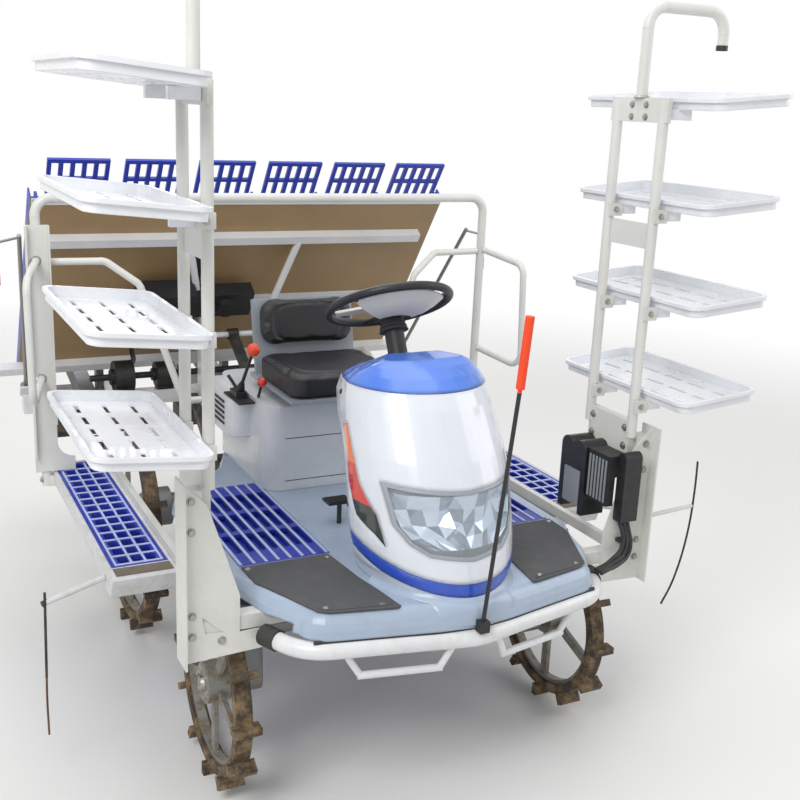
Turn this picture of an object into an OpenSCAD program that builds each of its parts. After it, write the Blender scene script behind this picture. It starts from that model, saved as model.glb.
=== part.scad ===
// Six-row riding rice transplanter, parked on its four paddy wheels with the planting unit lifted.
// Millimetres, +Z up, the front faces -Y, and +X is the machine's left side.

/* [Overall] */
// Distance between the front and the rear axle
wheelbase = 1100; // [1000:10:1250]
// Rear axle's place behind the frame's origin
axle_y = 250; // [180:5:320]
// Height of the driver's floor
floor_z = 680; // [660:5:720]
// Half the distance between left and right wheels
half_track = 600; // [585:5:640]

/* [Wheels] */
// Outer radius of a rear wheel over its lugs
rear_r = 450; // [400:5:470]
// Outer radius of a front wheel over its lugs
front_r = 310; // [280:5:315]
// Width of a rear wheel
rear_w = 84; // [60:2:90]
// Width of a front wheel
front_w = 80; // [60:2:84]
// Number of lugs on a rear wheel
rear_lugs = 16; // [12:1:18]
// Number of lugs on a front wheel
front_lugs = 12; // [10:1:14]
// Radial thickness of the rubber rim
rim_t = 32; // [24:1:40]
// Radial height of a lug
lug_h = 34; // [20:1:44]
// Radius of a wheel hub
hub_r = 62; // [50:1:75]
// Distance from the steering pin to the middle of the front wheel
scrub = 100; // [90:5:120]

/* [Frame] */
// Half the distance between the two main beams
beam_x = 140; // [120:5:170]
// Height of a main beam
beam_h = 60; // [40:5:70]
// Width of a main beam
beam_w = 45; // [35:5:60]
// Height of the top of the main beams
beam_top = 610; // [590:5:620]
// Outer diameter of the bumper tube
bumper_d = 50; // [40:1:60]

/* [Floor] */
// Half the floor's width beside the front wheels
floor_half = 580; // [560:5:590]
// Thickness of the floor moulding
floor_t = 45; // [35:1:48]
// Thickness of a tread grille
grille_t = 14; // [10:1:20]
// Half the floor's width at the bumper
nose_half = 470; // [450:5:480]

/* [Side steps] */
// Distance of a side step's inner edge from the middle
step_in = 675; // [670:1:700]
// Width of a side step
step_w = 195; // [170:5:215]
// Height of a side step
step_z = 640; // [630:5:660]
// Length of a side step
step_l = 1080; // [900:10:1120]

/* [Hood] */
// Half the hood's width
hood_half = 248; // [232:2:252]
// Wall thickness of the mouldings
shell_t = 4; // [3:0.5:6]
// Height of the hood's top
hood_top_z = 1284; // [1260:2:1300]

/* [Seat] */
// Height of the seat cushion's top
seat_z = 1110; // [1080:5:1140]
// Width of the seat cushion
seat_w = 430; // [380:5:460]
// Depth of the seat cushion
seat_d = 400; // [360:5:430]

/* [Steering wheel] */
// Radius of the steering wheel to the middle of its rim
wheel_r = 188; // [170:2:200]
// Thickness of the steering wheel's rim
wheel_t = 26; // [22:1:32]
// Tilt of the steering column from upright
column_tilt = 28; // [20:1:35]

/* [Seedling racks] */
// Distance of a rack post from the middle
rack_x = 685; // [670:5:700]
// Diameter of a rack post
rack_d = 32; // [26:1:38]
// Number of trays on a rack
tray_n = 4; // [2:1:4]
// Height of the lowest tray
tray_z = 1138; // [1120:2:1160]
// Height between two trays
tray_step = 294; // [260:2:300]
// Length of a tray
tray_l = 640; // [600:5:660]
// Width of a tray
tray_w = 300; // [290:2:310]
// Tilt of the trays
tray_tilt = 5.2; // [0:0.2:8]

/* [Lift linkage] */
// Length of the lift links between their pins
link_l = 500; // [460:5:520]
// Angle of the links above level, with the planting unit lifted
link_a = 32; // [28:1:36]
// Height between the lower and the upper pins
link_gap = 280; // [260:5:300]

/* [Planting unit] */
// Number of rows
rows = 6; // [6:2:6]
// Distance between rows
row_pitch = 300; // [290:2:300]
// Angle of the seedling table from level
table_a = 54; // [50:1:58]
// Length of the seedling table
table_l = 980; // [900:10:1000]
// Radius on which the planting arms turn
rotor_r = 100; // [90:1:105]

/* [Hidden] */
$fn = 32;
eps = 0.01;
// Gap left where one piece rests on another
seat_gap = 0.3;
// Radial gap of a pin or axle in its hole
run_gap = 0.3;
front_y = -wheelbase;
WHITE = "#eceff0";
PALE = "#b9c6d6";
GREY = "#c9ccd0";
BLUE = "#1f3fae";
SKY = "#5a8fe8";
DARK = "#26282b";
RED = "#e23a1d";
STEEL = "#8d9196";
RUBBER = "#3b342c";

// Vector helpers
function unit(v) = v / norm(v);
function side_of(v) = abs(v.z) > 0.9 * norm(v) ? [1, 0, 0] : [0, 0, 1];
function frame_m(x, y, z, o) = [[x.x, y.x, z.x, o.x], [x.y, y.y, z.y, o.y], [x.z, y.z, z.z, o.z],
    [0, 0, 0, 1]];
function mirror_x(v) = [-v.x, v.y, v.z];
function arc(cx, cy, r, a0, a1, n = 6) = [for (i = [0:n])
    [cx + r * cos(a0 + (a1 - a0) * i / n), cy + r * sin(a0 + (a1 - a0) * i / n)]];

// Everything is drawn from the rear axle's middle on the ground and set back to the origin here
module machine() {
    translate([0, axle_y, 0]) children();
}

module both() {
    children();
    mirror([1, 0, 0]) children();
}

// A round bar from point a to point b
module bar(a, b, d) {
    z = unit(b - a);
    x = unit(cross(side_of(z), z));
    multmatrix(frame_m(x, cross(z, x), z, a)) cylinder(d = d, h = norm(b - a));
}

// The bend of a tube at point p, between its neighbours a and b
module bend(a, p, b, d, r) {
    d0 = unit(p - a);
    d1 = unit(b - p);
    turn = acos(d0 * d1);
    m = unit(d1 - (d1 * d0) * d0);
    c = p - d0 * (r * tan(turn / 2)) + m * r;
    multmatrix(frame_m(-m, d0, cross(-m, d0), c))
        rotate_extrude(angle = turn) translate([r, 0]) circle(d = d);
}

// How far a bend of radius r at corner i eats into the straights beside it
function cut_of(pts, i, r) = (i == 0 || i == len(pts) - 1) ? 0
    : r * tan(acos(unit(pts[i] - pts[i - 1]) * unit(pts[i + 1] - pts[i])) / 2);

// A bent tube along corner points, each corner rounded to radius r, with a low sleeve where
// each bend meets its straights
sleeve = 0.8;
module pipe(pts, d, r) {
    for (i = [0:len(pts) - 2]) {
        u = unit(pts[i + 1] - pts[i]);
        a = pts[i] + u * cut_of(pts, i, r);
        b = pts[i + 1] - u * cut_of(pts, i + 1, r);
        bar(i == 0 ? a : a + u, i == len(pts) - 2 ? b : b - u, d);
        if (i > 0) bar(a - 2 * u, a + 4 * u, d + sleeve);
        if (i < len(pts) - 2) bar(b - 4 * u, b + 2 * u, d + sleeve);
    }
    for (i = [1:len(pts) - 2]) bend(pts[i - 1], pts[i], pts[i + 1], d, r);
}

// A box between two corners
module block(a, b) {
    translate(a) cube(b - a);
}

// A plate in the Y-Z plane, from x0 with thickness t
module plate_yz(x0, t, pts) {
    translate([x0, 0, 0]) rotate([90, 0, 90]) linear_extrude(t) polygon(pts);
}

// A plate in the X-Z plane, from y0 towards the rear with thickness t
module plate_xz(y0, t, pts, holes = []) {
    translate([0, y0 + t, 0]) rotate([90, 0, 0]) linear_extrude(t) difference() {
        polygon(pts);
        for (h = holes) polygon(h);
    }
}

// Moves the corners of a closed outline inwards, by a share of d that falls behind y_side
function inset(p, d, y_side, share) = let (n = len(p)) [for (i = [0:n - 1])
    let (u = unit(p[i] - p[(i + n - 1) % n]), v = unit(p[(i + 1) % n] - p[i]))
        p[i] + (p[i].y > y_side ? share : 1) * d / (1 + u * v) * [-u.y - v.y, u.x + v.x]];

function at_z(pts, z) = [for (p = pts) [p.x, p.y, z]];

// A closed skin through rings of equal length, from the lowest ring up
module loft(rings) {
    n = len(rings[0]);
    last = (len(rings) - 1) * n;
    polyhedron(points = [for (r = rings) each r],
        faces = concat([[for (i = [0:n - 1]) i]], [[for (i = [n - 1:-1:0]) last + i]],
            [for (k = [0:len(rings) - 2], i = [0:n - 1]) let (a = k * n + i, b = k * n + (i + 1) % n)
                each [[a, a + n, b], [b, a + n, b + n]]]));
}

module rounded(w, l, r) {
    polygon([for (c = [[1, 1, 0], [-1, 1, 90], [-1, -1, 180], [1, -1, 270]])
        each arc(c[0] * (w / 2 - r), c[1] * (l / 2 - r), r, c[2], c[2] + 90)]);
}

// FRAME

// Pins of the lift links at the frame's rear end
link_y = 150;
link_z = 440;
pin_d = 24;
bracket_t = 10;
// Pin of the lift cylinder, and half the width of its barrel's eye
lift_base = [0, -300, 560];
lift_pin_d = 20;
lift_eye_half = 30;
// Wall of the floor moulding
deck_t = 6;
beam_front = front_y - 230;
// Places of the cross members and of the floor's feet along the beams
cross_l = 45;
cross_ys = [beam_front + 60, front_y + 260, -700, lift_base.y - 85];
foot_l = 60;
foot_ys = [beam_front + 120, front_y + 200, -640];

module main_frame() {
    color(DARK) machine() {
        both() {
            block([beam_x - beam_w / 2, beam_front, beam_top - beam_h],
                [beam_x + beam_w / 2, link_y - 60, beam_top]);
            plate_yz(beam_x - bracket_t / 2, bracket_t, [[link_y - 95, beam_top],
                [link_y - 90, link_z - 55], [link_y + 25, link_z - 55],
                [link_y + 35, link_z + link_gap + 40], [link_y - 35, link_z + link_gap + 40]]);
            bar([beam_x, link_y, link_z], [beam_x + 62, link_y, link_z], pin_d);
        }
        bar([-beam_x, link_y, link_z + link_gap], [beam_x, link_y, link_z + link_gap], pin_d);
        for (y = cross_ys) block([-beam_x, y, beam_top - beam_h + 5], [beam_x, y + cross_l, beam_top - 5]);
        both() for (y = foot_ys)
            block([beam_x - 20, y, beam_top - eps], [beam_x + 20, y + foot_l, floor_z - deck_t - seat_gap]);
        both() block([lift_eye_half + 2, lift_base.y - 41, lift_base.z - 25],
            [lift_eye_half + 12, lift_base.y + 25, lift_base.z + 25]);
        bar(lift_base - [lift_eye_half + 6, 0, 0], lift_base + [lift_eye_half + 6, 0, 0], lift_pin_d);
    }
}

// Drawbar plate under the frame's foremost cross member
tow_t = 12;
tow_d = 22;
tow_w = 70;
tow_top = beam_top - beam_h + 5 - seat_gap;
module tow_plate() {
    color(DARK) machine() difference() {
        block([-tow_w / 2, beam_front - 60, tow_top - tow_t], [tow_w / 2, beam_front + 78, tow_top]);
        bar([0, beam_front - 32, tow_top - tow_t - 1], [0, beam_front - 32, tow_top + 1], tow_d);
    }
}

// Height of the front axle's tube; the upright steering pin turns in a sleeve at each end
case_z = 470;
case_half = 120;
king_x = half_track - scrub;
king_top = 560;
king_foot = 430;
king_d = 92;
king_pin_d = 40;
king_pin_l = 85;
module transmission_case() {
    color(STEEL) machine() {
        block([-case_half, front_y - 150, case_z - 60], [case_half, front_y + 240, beam_top - beam_h]);
        bar([0, front_y + 60, case_z + 20], [0, front_y + 300, case_z + 20], 120);
        bar([-60, front_y - 40, beam_top - beam_h - eps], [-60, front_y - 40, floor_z - 60], 60);
        both() difference() {
            union() {
                bar([case_half - eps, front_y, case_z], [king_x, front_y, case_z], 76);
                bar([king_x, front_y, king_foot], [king_x, front_y, king_top], king_d);
            }
            bar([king_x, front_y, king_foot - 1], [king_x, front_y, king_foot + king_pin_l + 5],
                king_pin_d + 2 * run_gap);
        }
    }
}

rear_case_x = half_track - 120;
axle_r = 22;
module rear_axle() {
    color(STEEL) machine() {
        bar([-rear_case_x, 0, rear_r], [rear_case_x, 0, rear_r], 96);
        both() {
            bar([rear_case_x - 35, 0, rear_r], [rear_case_x + 25, 0, rear_r], 150);
            bar([rear_case_x + 20, 0, rear_r], [half_track + 20, 0, rear_r], 2 * axle_r);
            block([beam_x - 25, -60, rear_r], [beam_x + 25, 12, beam_top - beam_h]);
        }
    }
}

engine_half = 190;
engine_front = -500;
engine_back = -110;
engine_top = 950;
// Plain block for the engine, with a recess over the lift cylinder
module engine_block() {
    color(STEEL) machine()
        difference() {
            block([-engine_half, engine_front, beam_top + seat_gap], [engine_half, engine_back, engine_top]);
            block([-48, lift_base.y - 60, beam_top - 1], [48, engine_back + 1, beam_top + 60]);
        }
}

// Cross member in front that carries the seedling racks and the side steps
post_y = front_y - 215;
post_w = 60;
post_t = 45;
post_foot = 560;
rack_foot = 1010;
rail_w = 22;
gusset_t = 6;
gusset_in = floor_half + 24;
// Cut-out plate under each rack post, and its three-cornered hole
gusset_outline = [[rack_x - 160, post_foot - 28], [rack_x + 20 + post_w, post_foot - 38],
    [rack_x + 20 + post_w, rack_foot + 30], [rack_x + 8, rack_foot - 40], [gusset_in, floor_z + 20],
    [gusset_in, floor_z - floor_t - 46], [rack_x - 160, floor_z - floor_t - 46]];
gusset_hole = [[rack_x - 36, post_foot + 37], [rack_x + 16, post_foot + 42], [rack_x + 24, post_foot + 92]];
module outriggers() {
    color(WHITE) machine() {
        difference() {
            block([-rack_x - 20, post_y - post_t / 2, floor_z - floor_t - 42],
                [rack_x + 20, post_y + post_t / 2, floor_z - floor_t - seat_gap]);
            both() block([beam_x - 25, post_y - post_t, floor_z - floor_t - 50],
                [beam_x + 25, post_y + post_t, beam_top + seat_gap]);
        }
        both() {
            block([rack_x + 20, post_y - post_t / 2, post_foot - 30],
                [rack_x + 20 + post_w, post_y + post_t / 2, rack_foot]);
            block([step_in - rail_w - seat_gap, post_y, floor_z - floor_t - 7],
                [step_in - seat_gap, step_front + step_l, floor_z - floor_t + 27]);
            plate_xz(post_y - post_t / 2 - gusset_t, gusset_t + eps, gusset_outline, [gusset_hole]);
            block([rack_x + 20 + post_w - gusset_t, post_y - post_t / 2 - 42, post_foot - 40],
                [rack_x + 20 + post_w, post_y + post_t / 2, rack_foot + 30]);
        }
    }
}

// Height and reach of the bumper
bumper_z = 580;
bumper_y = front_y - 500;
// Where the middle of the bumper tube lies, x from the middle
function tube_y(x) = bumper_y + 100 * x / (nose_half + 10);
bumper_corner = [nose_half + 10, bumper_y + 100, bumper_z];
bumper_end = [nose_half + 70, front_y - 268, bumper_z];
bumper_dir = unit(bumper_end - bumper_corner);
cap_l = 50;
// Lower steps: inner and outer end at the tube, inner and outer end of the tread
step_loops = [[75, 105], [365, 325]];
module bumper() {
    color(WHITE) machine() {
        pipe([mirror_x(bumper_end - bumper_dir * cap_l), mirror_x(bumper_corner), [0, bumper_y, bumper_z],
            bumper_corner, bumper_end - bumper_dir * cap_l], bumper_d, 150);
        both() block([beam_x - 20, bumper_y + 36, bumper_z - 20], [beam_x + 20, beam_front, bumper_z + 20]);
        both() {
            for (p = step_loops) bar([p[0], tube_y(p[0]), bumper_z - bumper_d / 2 + 3],
                [p[1], tube_y(p[1]) + 6, bumper_z - 85], 20);
            bar([step_loops[0][1] - 8, tube_y(step_loops[0][1]) + 6, bumper_z - 85],
                [step_loops[1][1] + 8, tube_y(step_loops[1][1]) + 6, bumper_z - 85], 22);
        }
    }
}
module bumper_caps() {
    color(DARK) machine() both()
        bar(bumper_end - bumper_dir * (cap_l - seat_gap), bumper_end + bumper_dir * 6, bumper_d + 10);
}

// FLOOR

floor_front = bumper_y;
apron_back = front_y - 335;
apron_z = bumper_z + bumper_d / 2 + 5;
wheel_cut = rear_r + 30;
function floor_half_outline() = concat([[0, floor_front], [110, floor_front + 14]],
    arc(nose_half - 80, floor_front + 165, 90, -78, -12, 5),
    [[nose_half + 70, front_y - 250], [floor_half - 14, front_y - 150], [floor_half, front_y - 90],
        [floor_half, -wheel_cut - 70], [floor_half - 12, -wheel_cut - 30], [floor_half - 60, -wheel_cut + 10],
        [330, -250], [250, -60]]);
function floor_outline() = let (h = floor_half_outline(), n = len(h))
    concat(h, [for (i = [n - 1:-1:1]) [-h[i].x, h[i].y]]);
// How far the floor's edge has rounded inwards, from its foot up
rim = [[0, 0], [0.35, 3], [0.62, 10], [0.8, 18], [0.93, 28], [1, 40]];
module floor_body(i) {
    loft([for (r = rim) at_z(inset(floor_outline(), r[1] + i, front_y - 120, 0.45),
        apron_z - (i > 0 ? 1 : 0) + r[0] * (floor_z - (i > 0 ? deck_t - 1 : 0) - apron_z))]);
}
grille_in = 250;
grille_out = floor_half - 45;
grille_front = front_y - 30;
grille_back = -wheel_cut + 5;
mat_back = grille_front - 12;
mat_front = floor_front + 68;
module floor_deck() {
    color(PALE) machine() difference() {
        floor_body(0);
        floor_body(8);
        block([-floor_half - 1, apron_back, apron_z - 1], [floor_half + 1, 0, floor_z - floor_t]);
        both() block([grille_in, grille_front, apron_z], [grille_out, grille_back, floor_z + 1]);
        block([-engine_half - 10, engine_front - 10, apron_z],
            [engine_half + 10, engine_back + 10, floor_z + 1]);
    }
}

// Slot patterns: width and length of a slot, pitch across and along
floor_slots = [27, 138, 38, 166];
step_slots = [30, 46, 42, 64];
module slots(x0, x1, y0, y1, q) {
    nx = floor((x1 - x0 - 10) / q[2]);
    ny = floor((y1 - y0 - 10) / q[3]);
    ox = (x1 - x0 - nx * q[2] + q[2] - q[0]) / 2;
    oy = (y1 - y0 - ny * q[3] + q[3] - q[1]) / 2;
    c = 7;
    for (i = [0:nx - 1], j = [0:ny - 1]) translate([x0 + ox + i * q[2], y0 + oy + j * q[3]])
        polygon([[c, 0], [q[0] - c, 0], [q[0], c], [q[0], q[1] - c], [q[0] - c, q[1]], [c, q[1]],
            [0, q[1] - c], [0, c]]);
}
// Plain strip at the front of a side step
strip_l = 70;
module tread_grilles() {
    color(BLUE) machine() both() {
        translate([0, 0, floor_z - grille_t]) linear_extrude(grille_t) difference() {
            translate([grille_in + seat_gap, grille_front + seat_gap])
                square([grille_out - grille_in - 2 * seat_gap, grille_back - grille_front - 2 * seat_gap]);
            slots(grille_in, grille_out, grille_front, grille_back, floor_slots);
        }
        translate([0, 0, step_z - grille_t]) linear_extrude(grille_t) difference() {
            translate([step_in + 13 + seat_gap, step_front + strip_l + seat_gap])
                square([step_w - 26 - 2 * seat_gap, step_l - strip_l - 19 - 2 * seat_gap]);
            slots(step_in + 13, step_in + step_w - 13, step_front + strip_l, step_front + step_l - 19,
                step_slots);
        }
    }
}

module floor_mats() {
    color(DARK) machine() both() translate([0, 0, floor_z + seat_gap]) linear_extrude(4)
        polygon([[212, mat_front], [222, mat_front - 6], [nose_half - 62, mat_front + 34],
            [nose_half - 36, mat_front + 52], [grille_out - 4, front_y - 150], [grille_out, mat_back],
            [hood_half + 14, mat_back], [hood_half - 4, front_y - 230], [226, front_y - 330]]);
}

step_front = front_y + 110;
module side_steps() {
    color(WHITE) machine() both() {
        difference() {
            plate_yz(step_in, step_w, [[step_front, step_z - 12], [step_front + 26, step_z - 74],
                [step_front + 120, step_z - 74], [step_front + 230, step_z - 46],
                [step_front + step_l, step_z - 46], [step_front + step_l, step_z], [step_front + 6, step_z]]);
            block([step_in + 8, step_front + 40, step_z - 90],
                [step_in + step_w - 8, step_front + step_l - 8, step_z - grille_t]);
            block([step_in + 13, step_front + strip_l, step_z - 20],
                [step_in + step_w - 13, step_front + step_l - 19, step_z + 1]);
        }
    }
}

// HOOD AND CONSOLE

hood_back = front_y + 90;
hood_w = 248;
arc_n = 14;
// Sections of the hood from its foot up: share of its height, half width, half width of the rear
// edge, then places behind the front axle of the rear edge, the widest point and the nose
hood_rows = [
    [0.000, 214, 204, -112, -190, -472],
    [0.083, 236, 214, -110, -180, -468],
    [0.199, 246, 220, -100, -165, -445],
    [0.331, 248, 221, -80, -150, -420],
    [0.480, 245, 220, -52, -135, -400],
    [0.596, 240, 215, -10, -115, -362],
    [0.712, 234, 210, 40, -80, -318],
    [0.811, 226, 203, 65, -55, -280],
    [0.881, 217, 190, 62, -40, -247],
    [0.935, 188, 150, 30, -60, -208],
    [0.974, 160, 110, -10, -85, -165],
    [1.000, 125, 85, -30, -100, -128]];
function hood_z(f) = floor_z + seat_gap + f * (hood_top_z - floor_z - seat_gap);
function hood_ring(r, i) = let (w = r[1] * hood_half / hood_w - i, b = r[2] * hood_half / hood_w - i,
    back = front_y + r[3] - i, side = front_y + r[4], nose = front_y + r[5] + i,
    z = r[0] == 0 && i > 0 ? floor_z - 1 : hood_z(r[0]) - i,
    quarter = [for (j = [0:arc_n]) let (t = 90 * j / arc_n) [w * sin(t), side + (nose - side) * cos(t), z]],
    half = concat(quarter, [[(w + b) / 2 + 3, (back + side) / 2, z], [b, back, z]]))
    concat(half, [for (j = [len(half) - 1:-1:1]) mirror_x(half[j])]);
module hood_solid(i, k0, k1) {
    loft([for (k = [k0:k1]) hood_ring(hood_rows[k], i)]);
}
module hood_shell(k0, k1, t = shell_t) {
    difference() {
        hood_solid(0, k0, k1);
        hood_solid(t, k0, k1);
    }
}
split_z = hood_z(hood_rows[8][0]);
// Everything above the stripe's upper edge when o is stripe_top, above its lower edge for stripe_foot
stripe_top = 48;
stripe_foot = 10;
stripe_rise = 0.255;
module above(o) {
    z0 = floor_z + o;
    plate_yz(-400, 800, [[hood_nose - 100, z0 - 100 * stripe_rise], [hood_back + 300, z0 + stripe_rise
        * (hood_back + 300 - hood_nose)], [hood_back + 300, 2000], [hood_nose - 100, 2000]]);
}
hood_nose = front_y + hood_rows[1][5];
// Outline of the headlamp seen from the front, from the floor up
lamp_pts = [[0, 115], [112, 128], [152, 152], [182, 195], [197, 292], [100, 287], [0, 282], [-100, 287],
    [-197, 292], [-182, 195], [-152, 152], [-112, 128]];
lamp_depth = 260;
module lamp_prism(i) {
    plate_xz(hood_nose - 50, lamp_depth, [for (p = inset(lamp_pts, i, 1000, 1)) [p.x, floor_z + p.y]]);
}
// Outline of a side indicator seen from the side, behind the front axle and above the floor
slit_pts = [[-92, 425], [-150, 346], [-199, 274], [-273, 208], [-316, 125], [-276, 152], [-196, 184],
    [-148, 254], [-104, 333], [-51, 410]];
module slit_prism(i) {
    both() plate_yz(130, 300, [for (p = inset(slit_pts, i, 1000, 1)) [front_y + p.x, floor_z + p.y]]);
}
module column_hole() {
    bar(col_foot, col_top, col_d + 12);
}
module hood() {
    color(WHITE) machine() difference() {
        intersection() {
            hood_shell(0, 9);
            above(stripe_top);
        }
        block([-400, hood_nose - 100, split_z], [400, hood_back + 300, hood_top_z + 300]);
        lamp_prism(-10);
        slit_prism(0);
        column_hole();
    }
}
module hood_top() {
    color(SKY) machine() difference() {
        hood_shell(7, 11);
        block([-400, hood_nose - 100, 0], [400, hood_back + 300, split_z + seat_gap]);
        column_hole();
    }
}
module hood_stripe() {
    color(BLUE) machine() difference() {
        intersection() {
            hood_shell(0, 4);
            above(stripe_foot);
        }
        above(stripe_top - seat_gap);
    }
}
module hood_skirt() {
    color(PALE) machine() difference() {
        hood_shell(0, 3);
        above(stripe_foot - seat_gap);
    }
}
module lamp_bezel() {
    color(GREY) machine() difference() {
        intersection() {
            hood_shell(1, 6);
            lamp_prism(seat_gap - 10);
        }
        lamp_prism(0);
    }
}
module headlamp() {
    color(GREY) machine() intersection() {
        hood_shell(1, 6, 8);
        lamp_prism(seat_gap);
    }
}
module side_lamps() {
    color(RED) machine() intersection() {
        hood_shell(1, 8);
        slit_prism(seat_gap);
    }
}

// Steering wheel hub and column
hub_y = front_y + 140;
hub_z = 1395;
col_dir = [0, sin(column_tilt), cos(column_tilt)];
col_foot_z = floor_z + 30;
col_d = 60;
col_top = [0, hub_y, hub_z] - col_dir * (30 + seat_gap);
col_foot = col_top - col_dir * ((col_top.z - col_foot_z) / col_dir.z);
module steering_column() {
    color(DARK) machine() {
        bar(col_foot, col_top, col_d);
        block([-60, col_foot.y - 45, floor_z + seat_gap], [60, col_foot.y + 45, col_foot.z + 40]);
    }
}
module steering_wheel() {
    color(DARK) machine() translate([0, hub_y, hub_z]) rotate([-column_tilt, 0, 0]) {
        rotate_extrude() translate([wheel_r, 0]) circle(d = wheel_t);
        translate([0, 0, -30]) cylinder(r = 45, h = 26);
        for (a = [90, 210, 330]) rotate(a) bar([40, 0, -20], [wheel_r - 4, 0, -1], 16);
    }
}
// Wide spoke cover between the hub and the front of the rim
pad_z = -4 + seat_gap;
module steering_pad() {
    color(GREY) machine() translate([0, hub_y, hub_z]) rotate([-column_tilt, 0, 0]) {
        translate([0, 0, pad_z]) cylinder(r = 56, h = 16);
        translate([0, 0, pad_z]) linear_extrude(9) polygon([[-50, 0], [-86, -wheel_r * 0.78],
            [86, -wheel_r * 0.78], [50, 0], [158, 60], [140, 92], [0, 52], [-140, 92], [-158, 60]]);
    }
}

// ENGINE COVER AND SEAT

cover_half = 325;
cover_front = -585;
cover_back = -35;
cover_mid = (cover_front + cover_back) / 2;
cover_l = cover_back - cover_front;
cover_top = 985;
// The cover's body is narrower than the two shoulders on its rear half, which start shoulder_z
// above the floor
body_w = 2 * cover_half - 140;
shoulder_z = 150;
shoulder_cut = 180;
corner_r = 60;
module engine_cover() {
    color(WHITE) machine() difference() {
        union() {
            translate([0, cover_mid, floor_z + seat_gap]) linear_extrude(cover_top - floor_z - seat_gap)
                rounded(body_w, cover_l, corner_r);
            translate([0, cover_mid + shoulder_cut / 2, floor_z + shoulder_z])
                linear_extrude(cover_top - floor_z - shoulder_z - 20)
                rounded(2 * cover_half, cover_l - shoulder_cut, corner_r);
        }
        translate([0, cover_mid, floor_z]) linear_extrude(cover_top - floor_z - shell_t)
            rounded(body_w - 2 * shell_t, cover_l - 2 * shell_t, corner_r - shell_t);
    }
}
seat_front = -700;
cushion_t = 80;
pan_t = 15;
back_tilt = 12;
back_h = 180;
back_z = 95;
// Foot of the backrest, whose pieces are drawn upright and tilted there
module at_backrest() {
    translate([0, seat_front + seat_d + 5, seat_z - cushion_t - 2]) rotate([-back_tilt, 0, 0]) children();
}
module seat_shell() {
    color(GREY) machine() {
        block([-seat_w / 2 + 10, seat_front + 15, seat_z - cushion_t - pan_t],
            [seat_w / 2 - 10, seat_front + seat_d + 40, seat_z - cushion_t]);
        at_backrest() block([-seat_w / 2 + 20, 0, 0], [seat_w / 2 - 20, 14, back_z + back_h - 5]);
        both() block([120, seat_front + 130, cover_top + seat_gap],
            [160, seat_front + 330, seat_z - cushion_t - pan_t + eps]);
    }
}
module seat_cushion() {
    color(DARK) machine() translate([0, seat_front + seat_d / 2, seat_z - cushion_t + seat_gap])
        linear_extrude(cushion_t - 2) rounded(seat_w, seat_d, corner_r);
}
module seat_back() {
    color(DARK) machine() at_backrest() translate([0, -seat_gap, back_z + back_h / 2])
        rotate([90, 0, 0]) linear_extrude(50) rounded(seat_w - 60, back_h, corner_r);
}
// Lift lever beside the seat, from its foot to its ball
lever_x = 40 - cover_half;
lever_foot = [lever_x, -370, cover_top];
ball_at = [lever_x + 11, -490, cover_top + 181];
ball_d = 46;
pedal_x = 130;
module controls() {
    color(DARK) machine() {
        block([lever_x - 20, -400, cover_top - 20 + seat_gap], [lever_x + 20, -330, cover_top + 10]);
        bar(lever_foot, ball_at - [1, -10, 16], 12);
        translate(ball_at) sphere(d = ball_d);
        both() {
            bar([pedal_x, hood_back + 90, floor_z + seat_gap], [pedal_x, hood_back + 90, floor_z + 70], 16);
            block([pedal_x - 40, hood_back + 80, floor_z + 66],
                [pedal_x + 40, hood_back + 140, floor_z + 74]);
        }
    }
}

// REAR RAIL

rail_z = 1630;
post_x = step_in + step_w + 24;
rail_d = 34;
loop_d = 26;
// Hand loop outside each post, and brace from each post down to the engine cover
hand_loop = [[post_x, 0, 1420], [post_x + 70, -230, 1380], [post_x + 70, -260, 960], [post_x, 0, 1000]];
brace = [[post_x, 0, 1410], [post_x - 230, -20, 1410], [post_x - 340, -60, 1330],
    [cover_half + 90, -120, 900], [cover_half, -120, 900]];
// A brace from a to b whose ends stop short by ca and cb, at the tubes that hold them
function trim(pts, ca, cb) = let (n = len(pts) - 1) [for (i = [0:n])
    i == 0 ? pts[0] + unit(pts[1] - pts[0]) * ca : i == n ? pts[n] + unit(pts[n - 1] - pts[n]) * cb : pts[i]];
module rear_rail() {
    color(WHITE) machine() {
        pipe([[-post_x, 0, step_z - 50], [-post_x, 0, rail_z], [post_x, 0, rail_z],
            [post_x, 0, step_z - 50]], rail_d, 60);
        both() {
            pipe(trim(hand_loop, rail_d / 2 + 2.8, rail_d / 2 + 2.8), loop_d, 50);
            pipe(trim(brace, rail_d / 2 + 2, seat_gap), loop_d, 40);
            block([step_in + step_w + seat_gap, -20, step_z - 50], [post_x, 20, step_z - 12]);
        }
    }
}

// Wide upright sheet in front of the right-hand post, cut out round the hand loop's two ends and
// flared inwards at its foot
plate_half = 40;
plate_t = 5;
plate_foot = step_z + 8;
module rail_plate() {
    x = -post_x;
    y = -rail_d / 2 - seat_gap - plate_t;
    outline = concat([[x - plate_half, plate_foot], [x + plate_half + 60, plate_foot]],
        arc(x + plate_half + 60, plate_foot + 110, 60, 270, 180),
        [[x + plate_half, rail_z - 90], [x - plate_half, rail_z - 90]]);
    color(WHITE) machine() difference() {
        union() {
            plate_xz(y, plate_t, outline);
            block([x - plate_half, y - 24, plate_foot + 60],
                [x - plate_half + plate_t, y + eps, rail_z - 90]);
            block([x + plate_half - plate_t, y - 24, plate_foot + 180],
                [x + plate_half, y + eps, rail_z - 90]);
        }
        bar(mirror_x(hand_loop[0]), mirror_x(hand_loop[1]), loop_d + 10);
        bar(mirror_x(hand_loop[3]), mirror_x(hand_loop[2]), loop_d + 10);
    }
}

// SEEDLING RACKS

rack_front = front_y - 230;
rack_back = rack_front + 215;
rack_top = tray_z + (tray_n - 1) * tray_step + 20;
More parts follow.
